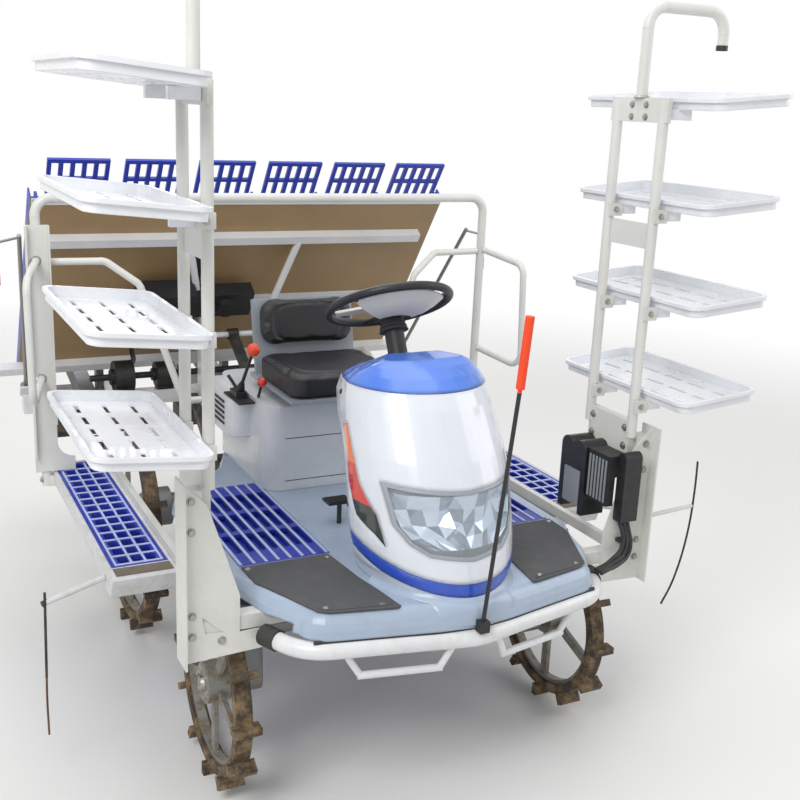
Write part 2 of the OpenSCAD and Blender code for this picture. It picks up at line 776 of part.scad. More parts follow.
// Hooked pole on top of a rack
pole_y = rack_front + 110;
pole_z = rack_top + 260;
pole_reach = 290;
pole_d = 34;
module rack_frames() {
    color(WHITE) machine() both() {
        for (y = [rack_front, rack_back]) bar([rack_x, y, rack_foot], [rack_x, y, rack_top - 12], rack_d);
        block([rack_x - 6, rack_front + 4, rack_foot - 60],
            [rack_x + 20 - seat_gap, rack_back - 4, rack_foot + 50]);
        block([rack_x - 7, rack_front - 24, rack_top - 70], [rack_x + 7, rack_back + 24, rack_top]);
        pipe([[rack_x, pole_y, rack_top + seat_gap], [rack_x, pole_y, pole_z],
            [rack_x + pole_reach, pole_y, pole_z], [rack_x + pole_reach, pole_y, pole_z - 110]], pole_d, 60);
    }
}
tray_in = rack_x + rack_d / 2 + 18;
// A tray's slots: width and length, pitch across and along
tray_slots = [14, 80, 78, 112];
module tray() {
    difference() {
        translate([tray_w / 2, 0, -12]) {
            linear_extrude(24) rounded(tray_w - 18, tray_l - 18, 34);
            translate([0, 0, 22]) linear_extrude(12) rounded(tray_w, tray_l, 42);
        }
        translate([tray_w / 2, 0, -7]) linear_extrude(40) rounded(tray_w - 26, tray_l - 26, 30);
        for (i = [-1:1], j = [-2:2])
            translate([tray_w / 2 + i * tray_slots[2], j * tray_slots[3], -20])
            linear_extrude(30) square([tray_slots[0], tray_slots[1]], center = true);
    }
}
module rack_trays() {
    color(WHITE) machine() both() for (i = [0:tray_n - 1]) {
        translate([tray_in, rack_front + tray_l / 2 - 190, tray_z + i * tray_step])
            rotate([0, -tray_tilt, 0]) tray();
        for (y = [rack_front, rack_back])
            block([rack_x + rack_d / 2 + seat_gap, y - 12, tray_z + i * tray_step - 40],
                [tray_in + 60, y + 12, tray_z + i * tray_step - 9]);
    }
}

// Upper end of the bent marker rod, where its sleeve begins
rod_top = [45, bumper_y - 45, 1300];
module centre_marker() {
    color(DARK) machine() {
        bar([0, bumper_y - 16, bumper_z + 54], rod_top, 12);
        block([-15, bumper_y - 30, bumper_z + bumper_d / 2 + seat_gap], [15, bumper_y - 2, bumper_z + 58]);
        bar(rod_top - unit([9, -8, 190]), rod_top + [9, -8, 190], 24);
    }
}
module side_markers() {
    color(WHITE) machine() both() {
        bar([step_in + step_w + 3, step_front + 100, step_z - 40], [1060, step_front + 60, step_z - 75], 18);
        bar([1050, step_front + 60, step_z - 40], [1056, step_front + 60, 330], 8);
    }
}
// Case with two humps beside the right-hand rack, open towards the driver
case_d = 66;
case_reach = 95;
module side_case() {
    color(DARK) machine() translate([rack_x - case_reach, post_y + 80, floor_z + 40]) difference() {
        w = case_reach - 6 - seat_gap;
        union() {
            cube([w, 2 * case_d, 215]);
            for (y = [case_d / 2, 1.5 * case_d]) bar([0, y, 215], [w, y, 215], case_d);
        }
        translate([-1, 22, -1]) cube([w - 7, 2 * case_d - 44, 150]);
    }
}

// WHEELS

module tyre(r, w, n) {
    ring_r = r - lug_h;
    rotate([0, 90, 0]) {
        rotate_extrude($fn = 64) translate([ring_r - rim_t, -w * 0.3]) square([rim_t, w * 0.6]);
        for (i = [0:n - 1]) rotate(i * 360 / n) translate([ring_r - 6, -11, -w / 2])
            cube([lug_h + 6, 22, w]);
    }
}
module hub(r, w, spokes) {
    ring_r = r - lug_h - rim_t;
    rotate([0, 90, 0]) {
        difference() {
            translate([0, 0, -w / 2 + 4]) cylinder(r = hub_r, h = w - 8);
            translate([0, 0, -w / 2 - 1]) cylinder(r = axle_r + run_gap, h = w / 2 + 23);
        }
        rotate_extrude($fn = 64) translate([ring_r - 14, -14]) square([14, 28]);
        for (i = [0:spokes - 1]) rotate(i * 360 / spokes) translate([hub_r - 5, -16, -7])
            cube([ring_r - hub_r - 5, 32, 14]);
    }
}
module at_rear(s) { machine() translate([s * half_track, 0, rear_r]) children(); }
module at_front(s) { machine() translate([s * half_track, front_y, front_r]) children(); }
module knuckle(s) {
    color(STEEL) machine() mirror([s < 0 ? 1 : 0, 0, 0]) {
        hull() {
            bar([king_x, front_y, king_foot - seat_gap], [king_x, front_y, king_foot - 30], king_d);
            bar([king_x - 34, front_y, front_r], [king_x + 34, front_y, front_r], 96);
        }
        bar([king_x + 30, front_y, front_r], [half_track + 18, front_y, front_r], 2 * axle_r);
        bar([king_x, front_y, king_foot - 20], [king_x, front_y, king_foot + king_pin_l], king_pin_d);
    }
}
module front_knuckle_l() { knuckle(1); }
module front_knuckle_r() { knuckle(-1); }
module front_tyre_l() { color(RUBBER) at_front(1) tyre(front_r, front_w, front_lugs); }
module front_tyre_r() { color(RUBBER) at_front(-1) tyre(front_r, front_w, front_lugs); }
module front_hub_l() { color(STEEL) at_front(1) hub(front_r, front_w, 5); }
module front_hub_r() { color(STEEL) at_front(-1) mirror([1, 0, 0]) hub(front_r, front_w, 5); }
module rear_tyre_l() { color(RUBBER) at_rear(1) tyre(rear_r, rear_w, rear_lugs); }
module rear_tyre_r() { color(RUBBER) at_rear(-1) tyre(rear_r, rear_w, rear_lugs); }
module rear_hub_l() { color(STEEL) at_rear(1) hub(rear_r, rear_w, 6); }
module rear_hub_r() { color(STEEL) at_rear(-1) mirror([1, 0, 0]) hub(rear_r, rear_w, 6); }

// LIFT LINKAGE

link_dy = link_l * cos(link_a);
link_dz = link_l * sin(link_a);
hitch_y = link_y + link_dy;
hitch_z = link_z + link_dz;
link_x = beam_x + 40;
lever_r = 180;
lever_a = link_a + 70;
lever = [0, link_y + lever_r * cos(lever_a), link_z + lever_r * sin(lever_a)];
// Tube that joins the two lower links
cross_at = [0, link_y + 150 * cos(link_a), link_z + 150 * sin(link_a)];
module link_bar(x, z0, w) {
    difference() {
        union() {
            bar([x - w / 2, link_y, z0], [x + w / 2, link_y, z0], 50);
            bar([x - w / 2, hitch_y, z0 + link_dz], [x + w / 2, hitch_y, z0 + link_dz], 50);
            translate([x, link_y, z0]) rotate([link_a, 0, 0])
                block([-w / 2 + 4, 0, -18], [w / 2 - 4, link_l, 18]);
        }
        bar([x - w, link_y, z0], [x + w, link_y, z0], pin_d + 2 * run_gap);
        bar([x - w, hitch_y, z0 + link_dz], [x + w, hitch_y, z0 + link_dz], pin_d + 2 * run_gap);
    }
}
module lower_links() {
    color(DARK) machine() {
        both() link_bar(link_x, link_z, 36);
        bar(cross_at - [link_x, 0, 0], cross_at + [link_x, 0, 0], 40);
        both() plate_yz(26, 10, [[cross_at.y + 12, cross_at.z - 12], [cross_at.y + 20, cross_at.z + 14],
            [lever.y + 22, lever.z + 20], [lever.y - 22, lever.z + 14], [lever.y - 14, lever.z - 30]]);
    }
}
module upper_link() {
    color(DARK) machine() link_bar(0, link_z + link_gap, 44);
}
lift_dir = unit(lever - lift_base);
barrel_l = 290;
rod_d = 28;
module lift_barrel() {
    color(DARK) machine() {
        difference() {
            union() {
                bar(lift_base + lift_dir * 5, lift_base + lift_dir * barrel_l, 56);
                bar(lift_base - [lift_eye_half, 0, 0], lift_base + [lift_eye_half, 0, 0], 50);
            }
            bar(lift_base - [lift_eye_half + 1, 0, 0], lift_base + [lift_eye_half + 1, 0, 0],
                lift_pin_d + 2 * run_gap);
            bar(lift_base + lift_dir * 40, lift_base + lift_dir * (barrel_l + 1), rod_d + 2 * run_gap);
        }
    }
}
module lift_rod() {
    color(STEEL) machine() {
        bar(lift_base + lift_dir * 60, lever - lift_dir * 15, rod_d);
        bar(lever - [16, 0, 0], lever + [16, 0, 0], 44);
    }
}

// PLANTING UNIT

table_dir = [0, cos(table_a), -sin(table_a)];
table_n = [0, sin(table_a), cos(table_a)];
beam2_y = hitch_y + 110;
beam2_z = hitch_z;
// The seedling table's foot stands off the planting unit's beam, and the planting arms' axis lies
// behind and below it
table_foot = [0, beam2_y + 192, beam2_z + 102];
table_top = table_foot - table_dir * table_l;
axis_y = table_foot.y + 184;
axis_z = table_foot.z - 37;
float_z = axis_z - 180;
float_h = 70;
// Half widths of a float's nose and tail, and the tails' length behind the planting arms' axis
float_nose = 230;
float_tail = 90;
mast_z = hitch_z + link_gap + 26;
half_w = rows * row_pitch / 2;
row_xs = [for (i = [0:rows - 1]) (i - (rows - 1) / 2) * row_pitch];
case_xs = [for (i = [0:rows / 2 - 1]) (i - (rows / 2 - 1) / 2) * 2 * row_pitch];
module planting_frame() {
    color(WHITE) machine() {
        block([-marker_base.x - 12, beam2_y - 30, beam2_z - 30],
            [marker_base.x + 12, beam2_y + 30, beam2_z + 30]);
        both() {
            block([marker_base.x - 12, beam2_y - 20, beam2_z],
                [marker_base.x + 12, beam2_y + 20, marker_base.z - 27]);
            translate(marker_base) rotate([-table_a, 0, 0]) {
                block([-24, -24, -27], [24, 24, -15 - seat_gap]);
                translate([0, 0, -27]) cylinder(d = marker_pin, h = 50);
            }
        }
        both() {
            block([beam_x - 16, hitch_y - 26, hitch_z - 28], [beam_x + 12, beam2_y - 28, hitch_z + 28]);
            block([beam_x - 16, hitch_y - 26, hitch_z], [beam_x + 12, hitch_y + 26, mast_z]);
            bar([beam_x, hitch_y, hitch_z], [beam_x + 62, hitch_y, hitch_z], pin_d);
        }
        bar([-beam_x, hitch_y, hitch_z + link_gap], [beam_x, hitch_y, hitch_z + link_gap], pin_d);
        for (x = case_xs) block([x - 20, beam2_y - 20, float_z + float_h + seat_gap],
            [x + 20, beam2_y + 20, beam2_z - 30 + eps]);
    }
}
// Half the width of a chain case, and the radius of its front end
chain_half = 32;
case_r = 35;
module planting_cases() {
    y = beam2_y + 30 + case_r + seat_gap;
    color(STEEL) machine() for (x = case_xs) hull() {
        bar([x - chain_half, y, beam2_z], [x + chain_half, y, beam2_z], 2 * case_r);
        bar([x - chain_half, axis_y, axis_z], [x + chain_half, axis_y, axis_z], 84);
    }
}
module float_body(tail) {
    y0 = beam2_y - 124;
    y1 = beam2_y + 46;
    y2 = axis_y + tail;
    linear_extrude(float_h) polygon([[40 - float_nose, y0], [float_nose - 40, y0], [float_nose, y0 + 50],
        [float_nose, y1], [float_tail, y1 + 40], [float_tail, y2], [-float_tail, y2],
        [-float_tail, y1 + 40], [-float_nose, y1], [-float_nose, y0 + 50]]);
}
module floats() {
    color(DARK) machine() {
        translate([0, 0, float_z]) float_body(130);
        both() translate([2 * row_pitch, 0, float_z]) float_body(90);
    }
}
// Width of a seedling lane
lane = 280;
table_half = rows * lane / 2 + 25;
module on_table() {
    translate(table_top) rotate([-table_a, 0, 0]) children();
}
module seedling_table() {
    color(BLUE) machine() on_table() {
        block([-table_half, 0, 0], [table_half, table_l, 12]);
        for (i = [0:rows])
            block([(i - rows / 2) * lane - 5, 0, 12 - eps], [(i - rows / 2) * lane + 5, table_l, 40]);
        block([-table_half, 0, 0], [-table_half + 6, table_l, 60]);
        block([table_half - 6, 0, 0], [table_half, table_l, 60]);
    }
}
module feed_belts() {
    color(DARK) machine() on_table() for (i = [0:rows - 1])
        block([(i - (rows - 1) / 2) * lane - 90, table_l - 190, 12 + seat_gap],
            [(i - (rows - 1) / 2) * lane + 90, table_l - 40, 20]);
}
comb_l = 180;
module table_combs() {
    color(BLUE) machine() on_table() for (i = [0:rows - 1])
        translate([(i - (rows - 1) / 2) * lane, 0, 0]) difference() {
            block([-112, -comb_l, 2], [112, -seat_gap, 14]);
            for (k = [-2:2], j = [0, 1]) block([k * 42 - 13, -comb_l + 16 + j * 82, 1],
                [k * 42 + 13, -comb_l + 84 + j * 82, 15]);
        }
}
module table_rails() {
    color(WHITE) machine() on_table() {
        block([-table_half - 120, table_l - 60, -40], [table_half + 120, table_l - 20, -run_gap]);
        block([-table_half + 60, 180, -40], [table_half - 60, 220, -run_gap]);
    }
    color(WHITE) machine() both() {
        block([beam_x - 16, hitch_y - 26, mast_z + seat_gap], [beam_x + 12, hitch_y + 26, mast_z + 30]);
        bar([beam_x - 2, hitch_y, mast_z + 18],
            table_top + table_dir * 200 + [beam_x + 100, 0, 0] - table_n * 24, 30);
        block([half_w - 160, beam2_y - 25, beam2_z + 30 + seat_gap],
            [half_w - 120, beam2_y + 25, beam2_z + 55]);
        bar([half_w - 140, beam2_y, beam2_z + 48],
            table_top + table_dir * (table_l - 40) + [half_w - 140, 0, 0] - table_n * 24, 30);
    }
}
// Outer side of a rotor from the middle of its chain case, and the planting arms' pins
rotor_out = 128;
arm_pin = 20;
module planting_rotors() {
    color(STEEL) machine() for (x = case_xs, s = [-1, 1]) {
        bar([x + s * (chain_half + run_gap), axis_y, axis_z], [x + s * 105, axis_y, axis_z], 40);
        hull() for (q = [-1, 1]) bar([x + s * 96, axis_y, axis_z + q * rotor_r],
            [x + s * rotor_out, axis_y, axis_z + q * rotor_r], 56);
        for (q = [-1, 1]) bar([x + s * (rotor_out - 20), axis_y, axis_z + q * rotor_r],
            [x + s * (rotor_out + 30), axis_y, axis_z + q * rotor_r], arm_pin);
    }
}
module arm(x, s, q) {
    p = [x + s * (rotor_out + run_gap), axis_y, axis_z + q * rotor_r];
    difference() {
        union() {
            hull() {
                bar(p, p + [s * 34, 0, 0], 40);
                bar(p + [0, -100, -67], p + [s * 34, -100, -67], 20);
            }
            bar(p + [s * 17, -95, -64], p + [s * 17, -150, -100], 9);
        }
        bar(p - [s, 0, 0], p + [s * 35, 0, 0], arm_pin + 2 * run_gap);
    }
}
module planting_arms_a() {
    color(WHITE) machine() for (x = case_xs, s = [-1, 1]) arm(x, s, 1);
}
module planting_arms_b() {
    color(WHITE) machine() for (x = case_xs, s = [-1, 1]) arm(x, s, -1);
}
marker_dir = -table_dir;
marker_base = [half_w - 35, beam2_y, beam2_z + 80];
marker_pin = 16;
marker_l = 850;
module line_marker(s) {
    color(STEEL) machine() mirror([s < 0 ? 1 : 0, 0, 0]) {
        translate(marker_base) rotate([-table_a, 0, 0]) difference() {
            union() {
                translate([0, 0, -15]) cylinder(d = 38, h = 30);
                block([-8, -60, -8], [8, 0, 8]);
            }
            translate([0, 0, -16]) cylinder(d = marker_pin + 2 * run_gap, h = 32);
        }
        tip = marker_base + marker_dir * marker_l;
        bar(marker_base + marker_dir * 50, tip + marker_dir * 10 + [60, 0, 0], marker_pin);
        bar(tip + [60, 0, 0], tip + [150, 0, -20], 10);
        bar(tip + [146, 0, 0], tip + [146, 0, -130], 10);
        bar(tip + [146, 0, -120], tip + [146, 0, -170], 30);
    }
}
module line_marker_l() { line_marker(1); }
module line_marker_r() { line_marker(-1); }

main_frame();
transmission_case();
rear_axle();
engine_block();
outriggers();
tow_plate();
bumper();
bumper_caps();
floor_deck();
tread_grilles();
floor_mats();
hood();
hood_top();
hood_stripe();
hood_skirt();
lamp_bezel();
headlamp();
side_lamps();
steering_column();
engine_cover();
seat_shell();
seat_cushion();
seat_back();
controls();
side_steps();
rear_rail();
rail_plate();
rack_frames();
rack_trays();
centre_marker();
side_markers();
side_case();
front_knuckle_l();
front_knuckle_r();
front_tyre_l();
front_tyre_r();
front_hub_l();
front_hub_r();
rear_tyre_l();
rear_tyre_r();
rear_hub_l();
rear_hub_r();
steering_wheel();
steering_pad();
lower_links();
upper_link();
lift_barrel();
lift_rod();
planting_frame();
planting_cases();
floats();
table_rails();
planting_rotors();
planting_arms_a();
planting_arms_b();
seedling_table();
feed_belts();
table_combs();
line_marker_l();
line_marker_r();
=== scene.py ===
import math

import bmesh
import bpy
from mathutils import Matrix, Vector
from mathutils.bvhtree import BVHTree


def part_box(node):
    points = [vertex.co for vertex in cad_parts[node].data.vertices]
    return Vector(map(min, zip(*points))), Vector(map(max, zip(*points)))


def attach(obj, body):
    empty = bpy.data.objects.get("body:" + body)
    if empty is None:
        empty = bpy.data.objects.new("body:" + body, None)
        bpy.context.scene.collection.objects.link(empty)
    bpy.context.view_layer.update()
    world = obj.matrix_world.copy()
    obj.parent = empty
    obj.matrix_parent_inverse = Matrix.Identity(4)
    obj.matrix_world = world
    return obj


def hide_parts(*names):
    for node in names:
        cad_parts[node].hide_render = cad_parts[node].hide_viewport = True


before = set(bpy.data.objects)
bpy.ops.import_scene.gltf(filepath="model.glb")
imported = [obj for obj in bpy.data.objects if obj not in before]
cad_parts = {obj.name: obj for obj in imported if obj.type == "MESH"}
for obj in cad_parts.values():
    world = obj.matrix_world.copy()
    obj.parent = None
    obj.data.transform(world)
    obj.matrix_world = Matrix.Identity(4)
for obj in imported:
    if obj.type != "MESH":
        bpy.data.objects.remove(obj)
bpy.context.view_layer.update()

camera_place = Vector((-1.454, -3.635, 1.994))
camera_azimuth = math.radians(-27.237)
camera_tilt = math.radians(15.418)
camera_roll = math.radians(2.5)
camera_lens = 48.4

back = Vector((math.sin(camera_azimuth) * math.cos(camera_tilt),
               -math.cos(camera_azimuth) * math.cos(camera_tilt), math.sin(camera_tilt)))
right = back.cross(Vector((0, 0, -1))).normalized()
up = back.cross(right)
camera_x = right * math.cos(camera_roll) + up * math.sin(camera_roll)
camera_y = up * math.cos(camera_roll) - right * math.sin(camera_roll)
camera_data = bpy.data.cameras.new("camera")
camera_data.lens = camera_lens
camera_data.sensor_width = 36
camera = bpy.data.objects.new("camera", camera_data)
camera_turn = Matrix((camera_x, camera_y, back)).transposed().to_4x4()
camera.matrix_world = Matrix.Translation(camera_place) @ camera_turn
bpy.context.scene.collection.objects.link(camera)
bpy.context.scene.camera = camera
bpy.context.scene.view_settings.view_transform = "Standard"

# Studio floor and light: a pale sheet that keeps the machine's shadow, a large soft key from the
# front left, a fill from the right and a weak one from behind, under a plain white surround.


def add(tree, kind, links=(), **settings):
    """Adds one node; a setting is a property or an input by name, a link is (input, output socket)."""
    node = tree.nodes.new(kind)
    for key, value in settings.items():
        if hasattr(node, key):
            setattr(node, key, value)
        else:
            node.inputs[key.replace("_", " ")].default_value = value
    for socket, source in dict(links).items():
        tree.links.new(source, node.inputs[socket])
    return node


def linear(hex_colour):
    """Turns an sRGB hex value into the linear colour that a shader takes."""
    parts = [int(hex_colour[i:i + 2], 16) / 255 for i in (1, 3, 5)]
    return [c / 12.92 if c <= 0.04045 else ((c + 0.055) / 1.055) ** 2.4 for c in parts] + [1]


world = bpy.data.worlds.new("studio")
bpy.context.scene.world = world
world.use_nodes = True
world.node_tree.nodes.clear()
path = add(world.node_tree, "ShaderNodeLightPath")
seen = add(world.node_tree, "ShaderNodeMath", operation="MAXIMUM",
           links={0: path.outputs["Is Camera Ray"], 1: path.outputs["Is Glossy Ray"]})
seen = add(world.node_tree, "ShaderNodeMath", operation="MAXIMUM",
           links={0: seen.outputs[0], 1: path.outputs["Is Transmission Ray"]})
around = add(world.node_tree, "ShaderNodeBackground", Color=linear("#ffffff"), Strength=0.5)
behind = add(world.node_tree, "ShaderNodeBackground", Color=linear("#ffffff"), Strength=1.0)
shown = add(world.node_tree, "ShaderNodeMixShader",
            links={0: seen.outputs[0], 1: around.outputs[0], 2: behind.outputs[0]})
add(world.node_tree, "ShaderNodeOutputWorld", links={"Surface": shown.outputs[0]})

floor_mesh = bpy.data.meshes.new("studio_floor")
floor_mesh.from_pydata([(-14, -14, 0), (14, -14, 0), (14, 14, 0), (-14, 14, 0)], [], [(0, 1, 2, 3)])
floor = bpy.data.objects.new("studio_floor", floor_mesh)
bpy.context.scene.collection.objects.link(floor)
floor_paint = bpy.data.materials.new("studio_paper")
floor_paint.use_nodes = True
floor_paint.node_tree.nodes.clear()
paper = add(floor_paint.node_tree, "ShaderNodeBsdfPrincipled", Roughness=0.8)
paper.inputs["Base Color"].default_value = linear("#ececea")
spot = add(floor_paint.node_tree, "ShaderNodeTexCoord")
reach = add(floor_paint.node_tree, "ShaderNodeVectorMath", operation="LENGTH",
            links={0: spot.outputs["Object"]})
fade = add(floor_paint.node_tree, "ShaderNodeMapRange", From_Min=2.6, From_Max=7.5, To_Min=0.0, To_Max=1.0,
           interpolation_type="SMOOTHSTEP", links={"Value": reach.outputs["Value"]})
nothing = add(floor_paint.node_tree, "ShaderNodeBsdfTransparent")
sheet = add(floor_paint.node_tree, "ShaderNodeMixShader",
            links={0: fade.outputs[0], 1: paper.outputs[0], 2: nothing.outputs[0]})
add(floor_paint.node_tree, "ShaderNodeOutputMaterial", links={"Surface": sheet.outputs[0]})
floor_mesh.materials.append(floor_paint)

for name, place, size, watts in (("key", (-3.6, -3.4, 4.6), 2.6, 170), ("fill", (4.2, -2.2, 3.0), 3.0, 55),
                                 ("rear", (0.5, 4.6, 3.6), 3.0, 60), ("top", (0.0, -0.2, 5.6), 4.0, 80)):
    lamp_data = bpy.data.lights.new(name, "AREA")
    lamp_data.size = size
    lamp_data.energy = watts
    lamp = bpy.data.objects.new(name, lamp_data)
    lamp.location = place
    lamp.rotation_euler = (Vector((0, 0, 0.8)) - lamp.location).to_track_quat("-Z", "Y").to_euler()
    bpy.context.scene.collection.objects.link(lamp)

# Hood: four injection-moulded ABS shells, white below a sky-blue cap, with a royal-blue band and a
# pale skirt. They are clipped to one another; a wide bevel in the shader rounds the shells' facets.


def finish(name, hex_colour, rough, metal=0.0, coat=0.0, grain_mm=0.0, grain=0.0, vary=0.04,
           dust="#8b7a5e", dusty=0.12, edge_mm=1.5, zones=(), under=None):
    """A surface finish with soft variation, dust towards the ground, grain and eased edges. Zones paint
    boxes of the rest frame in another colour; under paints what faces against a direction."""
    material = bpy.data.materials.new(name)
    material.use_nodes = True
    tree = material.node_tree
    tree.nodes.clear()
    place = add(tree, "ShaderNodeTexCoord")
    here = place.outputs["Object"]
    blotch = add(tree, "ShaderNodeTexNoise", Scale=6.0, Detail=4.0, links={"Vector": here})
    spread = add(tree, "ShaderNodeMapRange", From_Min=0.35, From_Max=0.65, To_Min=1 - vary, To_Max=1 + vary,
                 links={"Value": blotch.outputs["Fac"]})
    paint = add(tree, "ShaderNodeRGB").outputs[0]
    paint.default_value = linear(hex_colour)
    for other, low, high in zones:
        middle, half = (Vector(low) + Vector(high)) / 2, (Vector(high) - Vector(low)) / 2
        off = add(tree, "ShaderNodeVectorMath", operation="SUBTRACT", links={0: here})
        off.inputs[1].default_value = middle
        off = add(tree, "ShaderNodeVectorMath", operation="ABSOLUTE", links={0: off.outputs[0]})
        off = add(tree, "ShaderNodeVectorMath", operation="SUBTRACT", links={0: off.outputs[0]})
        off.inputs[1].default_value = half
        far = add(tree, "ShaderNodeSeparateXYZ", links={0: off.outputs[0]})
        wide = add(tree, "ShaderNodeMath", operation="MAXIMUM", links={0: far.outputs[0], 1: far.outputs[1]})
        wide = add(tree, "ShaderNodeMath", operation="MAXIMUM", links={0: wide.outputs[0], 1: far.outputs[2]})
        inside = add(tree, "ShaderNodeMath", operation="LESS_THAN", links={0: wide.outputs[0]})
        inside.inputs[1].default_value = 0.0
        mixed = add(tree, "ShaderNodeMix", data_type="RGBA", links={0: inside.outputs[0], 6: paint})
        mixed.inputs[7].default_value = linear(other)
        paint = mixed.outputs[2]
    if under:
        facing = add(tree, "ShaderNodeVectorMath", operation="DOT_PRODUCT",
                     links={0: place.outputs["Normal"]})
        facing.inputs[1].default_value = under[1]
        against = add(tree, "ShaderNodeMath", operation="LESS_THAN", links={0: facing.outputs["Value"]})
        against.inputs[1].default_value = -0.5
        mixed = add(tree, "ShaderNodeMix", data_type="RGBA", links={0: against.outputs[0], 6: paint})
        mixed.inputs[7].default_value = linear(under[0])
        paint = mixed.outputs[2]
    shade = add(tree, "ShaderNodeVectorMath", operation="SCALE", links={0: paint, "Scale": spread.outputs[0]})
    height = add(tree, "ShaderNodeSeparateXYZ", links={0: here})
    low = add(tree, "ShaderNodeMapRange", From_Min=0.2, From_Max=1.1, To_Min=1.0, To_Max=0.15,
              links={"Value": height.outputs["Z"]})
    speckle = add(tree, "ShaderNodeTexNoise", Scale=23.0, Detail=8.0, Roughness=0.7, links={"Vector": here})
    film = add(tree, "ShaderNodeMapRange", From_Min=0.45, From_Max=0.75, To_Min=0.0, To_Max=2 * dusty,
               links={"Value": speckle.outputs["Fac"]})
    film = add(tree, "ShaderNodeMath", operation="MULTIPLY", use_clamp=True,
               links={0: film.outputs[0], 1: low.outputs[0]})
    colour = add(tree, "ShaderNodeMix", data_type="RGBA", links={0: film.outputs[0], 6: shade.outputs[0]})
    colour.inputs[7].default_value = linear(dust)
    gloss = add(tree, "ShaderNodeMapRange", From_Min=0.3, From_Max=0.7, To_Min=max(rough - 0.06, 0.04),
                To_Max=rough + 0.08, links={"Value": blotch.outputs["Fac"]})
    eased = add(tree, "ShaderNodeBevel", samples=6, Radius=edge_mm / 1000)
    normal = eased.outputs[0]
    if grain:
        texture = add(tree, "ShaderNodeTexNoise", Scale=1000 / grain_mm, Detail=3.0, links={"Vector": here})
        bump = add(tree, "ShaderNodeBump", Strength=grain, Distance=grain_mm / 4000,
                   links={"Height": texture.outputs["Fac"], "Normal": normal})
        normal = bump.outputs[0]
    shader = add(tree, "ShaderNodeBsdfPrincipled", Metallic=metal, Coat_Weight=coat,
                 links={"Base Color": colour.outputs[2], "Roughness": gloss.outputs[0], "Normal": normal})
    add(tree, "ShaderNodeOutputMaterial", links={"Surface": shader.outputs[0]})
    return material


def dress(material, *nodes):
    """Gives CAD nodes a finish."""
    for node in nodes:
        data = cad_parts[node].data
        data.materials.clear()
        data.materials.append(material)


# Gloss ABS from a polished mould: no grain, a clear top shine and soft edges.
hood_white = finish("moulded_white_abs_gloss", "#dce0e8", 0.2, coat=0.6, edge_mm=20, dusty=0.05, vary=0.015)
hood_pale = finish("moulded_pale_abs_gloss", "#c3ccda", 0.3, coat=0.4, edge_mm=18, dusty=0.08)
sky_abs = finish("moulded_sky_blue_abs", "#4f80e2", 0.22, coat=0.6, edge_mm=20, dusty=0.03, vary=0.02)
band_abs = finish("moulded_royal_blue_abs", "#2450c0", 0.25, coat=0.5, edge_mm=18, dusty=0.05)
dress(hood_white, "hood")
dress(sky_abs, "hood_top")
dress(band_abs, "hood_stripe")
dress(hood_pale, "hood_skirt")

# Fillet round the hood's foot: the floor's pale moulding rises to the hood's band and, at the nose,
# runs down over the floor's rim to the bumper. It is made of rings that follow the hood's foot.


def solid(name, shape, material, body="chassis", angle=35):
    """Makes a piece from a bmesh, smooth except at its sharp edges, and lets it ride on a body."""
    mesh = bpy.data.meshes.new(name)
    bmesh.ops.recalc_face_normals(shape, faces=shape.faces)
    shape.to_mesh(mesh)
    shape.free()
    mesh.shade_smooth()
    mesh.set_sharp_from_angle(angle=math.radians(angle))
    mesh.materials.append(material)
    made = bpy.data.objects.new(name, mesh)
    bpy.context.scene.collection.objects.link(made)
    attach(made, body)
    return made


# Satin ABS: a broad, soft shine, and dust on its upper side.
pale_abs = finish("moulded_pale_blue_abs", "#a6b6ca", 0.32, coat=0.25, edge_mm=9, dusty=0.12)
deck_top = 0.6806
# The hood's foot follows an ellipse round foot_y. The floor's front rim lies at rim_y in the middle
# and falls back by rim_back over rim_half.
foot_y, foot_half_x, foot_half_y = -1.04, 0.214, 0.282
rim_y, rim_back, rim_half = -1.343, 0.1, 0.48
fillet_reach, step_down = 0.019, 0.004
fillet = bmesh.new()
rings = []
for i in range(41):
    turn = math.radians(-78 + 156 * i / 40)
    out_x, out_y = math.sin(turn), -math.cos(turn)
    nose = min(1.0, 3 * math.cos(turn) ** 6)
    rise = min(1.0, 0.2 + 2.6 * (1 - math.cos(turn)))
    ring = [(foot_half_x * out_x + out_x * o, foot_y + foot_half_y * out_y + out_y * o, deck_top + h * rise)
            for o, h in ((-0.002, 0.040), (0.001, 0.028), (0.005, 0.016), (0.010, 0.008), (0.015, 0.003))]
    x = foot_half_x * out_x + out_x * fillet_reach
    y = foot_y + foot_half_y * out_y + out_y * fillet_reach
    ring.append((x, y, deck_top - step_down * (1 - nose)))
    if nose > 0.06:
        for fall, away in ((0.012, 0.0075), (0.030, 0.0105), (0.056, 0.0125)):
            rim = rim_y + rim_back * abs(x) / rim_half - away
            ring.append((x, min(y, rim) if nose == 1 else y, deck_top - step_down - fall * nose))
    rings.append([fillet.verts.new(place) for place in ring])
for one, two in zip(rings, rings[1:]):
    for a, b, c, d in zip(one, one[1:], two[1:], two):
        fillet.faces.new((a, b, c, d))
solid("hood_fillet", fillet, pale_abs, angle=60)

# Screw plugs on both sides below the cap: black polypropylene, pressed into the hood's corners.
# A fine spark-eroded grain makes the black plastic's shine broad and grey.
black_pp = finish("moulded_black_polypropylene", "#1b1c1f", 0.5, grain_mm=1.5, grain=0.3)


def rod(shape, start, end, radius, tip=None, sides=20):
    """Adds a round bar or cone between two points."""
    start, end = Vector(start), Vector(end)
    turn = (end - start).to_track_quat("Z", "Y").to_matrix().to_4x4()
    bmesh.ops.create_cone(shape, cap_ends=True, segments=sides, radius1=radius,
                          radius2=radius if tip is None else tip, depth=(end - start).length,
                          matrix=Matrix.Translation((start + end) / 2) @ turn)


